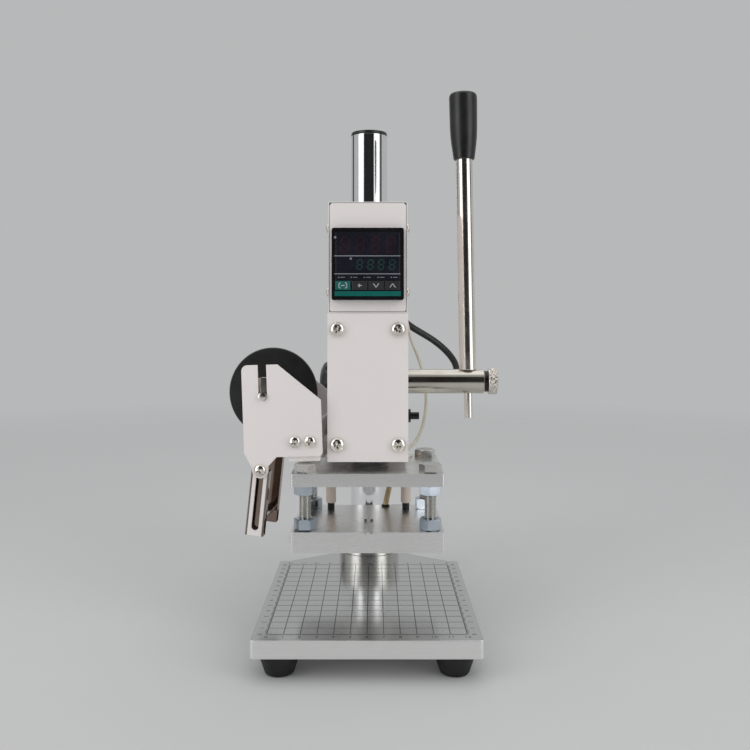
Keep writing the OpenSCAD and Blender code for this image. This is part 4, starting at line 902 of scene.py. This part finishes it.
for name, points in leads.items():
    mesh = tube(name, points, 2.4)[0]
    made = bentLead(name, mesh, creamLead, "cream_lead", ("head", "ram_unit"), *bends[name])
    if name == "rightHeaterLead":
        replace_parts(made, "heater_leads")

# Braided probe: a steel sheath, a black ring where it enters, and its golden braid
probe = {"d": 4.5, "braid": 4, "sheath": (67.3, 75.4),
    "path": [(12.6, -68, 69), (12.6, -68, 75), (13.2, -67, 80), (15.6, -62.8, 88), (17.4, -59.8, 96),
        (16.6, -58.4, 104), (13, -57.4, 112), (10.2, -56.6, 120), (8.8, -56, 130), (7.6, -54, 146), (7, -50, 162),
        (5.6, -45, 178), (4, -40, 194), (3, -38.5, 210), (3, -38.5, 238)]}
# The braid's dark tone is painted shade in its hollows
braidLook = {"light": (0.74, 0.58, 0.34), "dark": (0.2, 0.13, 0.06), "around": 10, "up": 4300, "deep": 0.1}
braid = woven("goldBraid", braidLook, (0.0145, -0.062), 0.75)
mesh = tube("probe", probe["path"], probe["braid"], 6, 10)[0]
bm = bmesh.new()
bm.from_mesh(mesh)
bpy.data.meshes.remove(mesh)
bmesh.ops.remove_doubles(bm, verts=bm.verts, dist=1e-6)
sheath = turned([(0, probe["sheath"][0]), (probe["d"] / 2, probe["sheath"][0]),
    (probe["d"] / 2, probe["sheath"][1]), (0, probe["sheath"][1])], 40, 0.2)
ring = turned([(0, 74.9), (2.9, 74.9), (2.9, 76.2), (0, 76.2)], 40, 0.3)
joined(tinted(bm, 0), moved(tinted(sheath, 1), at(12.6, -68, 0)), moved(tinted(ring, 2), at(12.6, -68, 0)))
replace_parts(piece("probe", bm, [braid, zincSteel, blackRubber], "ram_unit", 45), "thermocouple")
print("stage: leads and probe laid")

# Lever: hub, leaning rod with its lower pin, grip and knurled end cap
lever = {"place": (72, -82.5, 168.5), "lean": -1, "rod": 6, "pin": 3, "grip": 160.1, "hubEnd": 83.5}
# The hub's darker nickel is painted shade for the dark reflections on it
softened("leverHub", "lever_hub", hubShadedNickel, "lever", 0.25, 2, 40)
lean = at(*lever["place"], Matrix.Rotation(math.radians(lever["lean"]), 4, "Y"))
bm = turned([(0, -26.2), (lever["pin"], -26.2), (lever["pin"], 8.1), (5.2, 8.1), (lever["rod"], 8.6),
    (lever["rod"], 166.1), (4, 166.1), (4, 189), (0, 189)], 96, 0.35)
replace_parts(piece("leverRod", moved(bm, lean), brightNickel, "lever"), "lever_rod")
low = lever["grip"]
profile = [(6.15, 6), (6.15, 0.1), (7.1, 0), (7.6, 0.5), (7.7, 1.6), (8.3, 6), (9, 11), (9.5, 16), (9.8, 22),
    (9.95, 30), (10.05, 38), (10.1, 44.5), (9.8, 46.4), (8.9, 47.6), (7.4, 48.1), (0, 48.3)]
bm = turned([(4.2, low + 28)] + [(4.2, low + 6)] + [(r, low + z) for r, z in profile], 96, 0.12, 12, 2)
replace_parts(piece("leverGrip", moved(bm, lean), blackPlastic, "lever", 50), "lever_grip")


# Crossed ridges around the cap, in millimetres
def ridge(z):
    return lambda a: 8.9 + 0.6 * abs(math.sin(18 * a + 1.8 * z) * math.sin(18 * a - 1.8 * z))


cap = at(lever["hubEnd"], lever["place"][1], lever["place"][2], toX)
bm = turned([(0, 0.2), (7.5, 0.2), (7.5, 2.7), (0, 2.7)], 64, 0.2)
joined(bm, turned([(0, -8), (3, -8), (3, 0.5), (0, 0.5)], 40, 0.3))
tinted(bm, 1)
rings = [(8.3, 2.6), (8.9, 2.7), (9.15, 3.1)] + [(ridge(z), 3.3 + z) for z in [i * 5.2 / 16 for i in range(17)]]
joined(bm, ringed(192, rings + [(9.15, 8.7), (8.9, 9.05), (8.3, 9.2)]))
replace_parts(piece("hubCap", moved(bm, cap), [brightNickel, darkSteel], "cap", 24), "hub_cap")
print("stage: lever and its grip")

# Foil holder: two slotted plates on a bent mount, with a reel between them
holder = at(-70, -130, 162, Matrix.Rotation(math.radians(-6), 4, "Z") @ Matrix.Rotation(math.radians(-2), 4, "Y"))
softened("holderFront", "holder_front_plate", whitePaint, "head", 0.3, 3)
softened("holderRear", "holder_rear_plate", whitePaint, "head", 0.3, 3)
softened("holderMount", "holder_mount", whitePaint, "head", 0.3)
holderLook = {"flange": (20.6, 30.8), "flangeZ": -30.6, "span": 48, "sheet": 1.5, "pivot": (-3.5, -49),
    "mountX": -34.5, "mountY": (-110, -93), "mountZ": 128}
span, sheet = holderLook["span"], holderLook["sheet"]
bm = bmesh.new()
for i, x in enumerate(holderLook["flange"]):
    turn = Matrix.Rotation(0.5 + i * 0.9, 4, "Z")
    joined(bm, moved(panScrew(8, 2.8, 4, 6.8), holder @ at(x, 0, holderLook["flangeZ"], toFront @ turn)))
    joined(bm, moved(panScrew(8, 2.8, 4, 6.8), holder @ at(x, span + sheet, holderLook["flangeZ"], toBack @ turn)))
for y in holderLook["mountY"]:
    joined(bm, moved(panScrew(7.4, 2.6, 4, 15.8), at(holderLook["mountX"], y, holderLook["mountZ"], toLeft)))
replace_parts(piece("holderScrews", bm, brightNickel, "head", 42), "holder_screws")

softened("reelDisc", "reel_disc", blackPlastic, "reel", 0.25, 2, 24)
axle = {"r": 2.8, "low": -2, "high": 51.5}
bm = turned([(0, axle["low"]), (axle["r"], axle["low"]), (axle["r"], axle["high"]), (0, axle["high"])], 48, 0.4)
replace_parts(piece("reelAxle", moved(bm, holder @ toBack), brightNickel, "reel"), "reel_axle")
softened("reelCollar", "reel_collar", brightNickel, "reel", 0.3, 2, 40)

# Foil guide: slotted arms over polished rails, a bar between them and their pivot screws
# The rails' dark brown metal tone is a painted reflection of dark surroundings; faces near the bar's middle stay bright
# nickel
metals["brownReflectionMirror"] = {"tone": (0.25, 0.19, 0.16), "drift": 0.02, "gloss": (0.05, 0.1), "grain": 0.0}
brownReflectionMirror = metal("brownReflectionMirror")
softened("guideArms", "guide_arms", whitePaint, "guide_frame", 0.25, 2)
bm = copied("guide_bar")
rounded(bm, 0.15)
front, back = (corner[1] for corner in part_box("guide_bar"))
for face in bm.faces:
    face.material_index = int(abs(face.calc_center_median().y - (front + back) / 2) < 10 * mm)
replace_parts(piece("guideBar", bm, [brownReflectionMirror, brightNickel], "guide_frame"), "guide_bar")
bm = bmesh.new()
for y, outward, inward in ((0, toFront, toBack), (span + sheet, toBack, toFront)):
    sign = 1 if y == 0 else -1
    x, z = holderLook["pivot"]
    joined(bm, moved(panScrew(8, 2.8, 4, 6.6), holder @ at(x, y, z, outward @ Matrix.Rotation(0.35, 4, "Z"))))
    joined(bm, moved(hexagon(7, 0, 2.8, 2.05, True), holder @ at(x, y + sign * 3.5, z, inward)))
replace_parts(piece("guideScrews", bm, brightNickel, "guide_swivel", 36), "guide_screws")
print("stage: foil holder and guide")

# Ribbed gland where the mains lead leaves the housing
gland = {"place": (20.5, 0, 231.7), "back": -22.5, "ribs": 8, "pitch": 2.5}
profile = [(3.1, -25.5), (3.95, -25.5), (3.95, -22.5), (5.3, -22.5), (5.3, -20.5)]
for i in range(gland["ribs"]):
    z, r = -20.3 + gland["pitch"] * i, 4.3 - 0.08 * i
    profile += [(r, z), (r, z + 1.5), (r - 0.55, z + 1.6), (r - 0.55, z + 2.4)]
profile += [(3.5, -0.2), (3.5, 1.9), (3.1, 1.9), (3.1, -25.5)]
bm = turned(profile, 64, 0.12)
bm = moved(bm, at(*gland["place"], toBack))
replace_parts(piece("cordGland", bm, blackCord, "head", 40), "cord_gland")

# Nodes inside the machine, or plain ones, keep their own shape and take a finish
keptNodes = {"base_screws": zincSteel, "ram_guides": bronzeBush, "shaft_bushes": bronzeBush,
    "spring_anchor": zincSteel, "return_spring": zincSteel, "spring_post": zincSteel,
    "controller_case": blackPlastic, "cartridge_heaters": milledSteel, "pinion_shaft": milledSteel,
    "pinion": milledSteel, "shaft_retainer": darkSteel}
for node, finish in keptNodes.items():
    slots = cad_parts[node].data.materials
    for index in range(len(slots)):
        slots[index] = finish.material
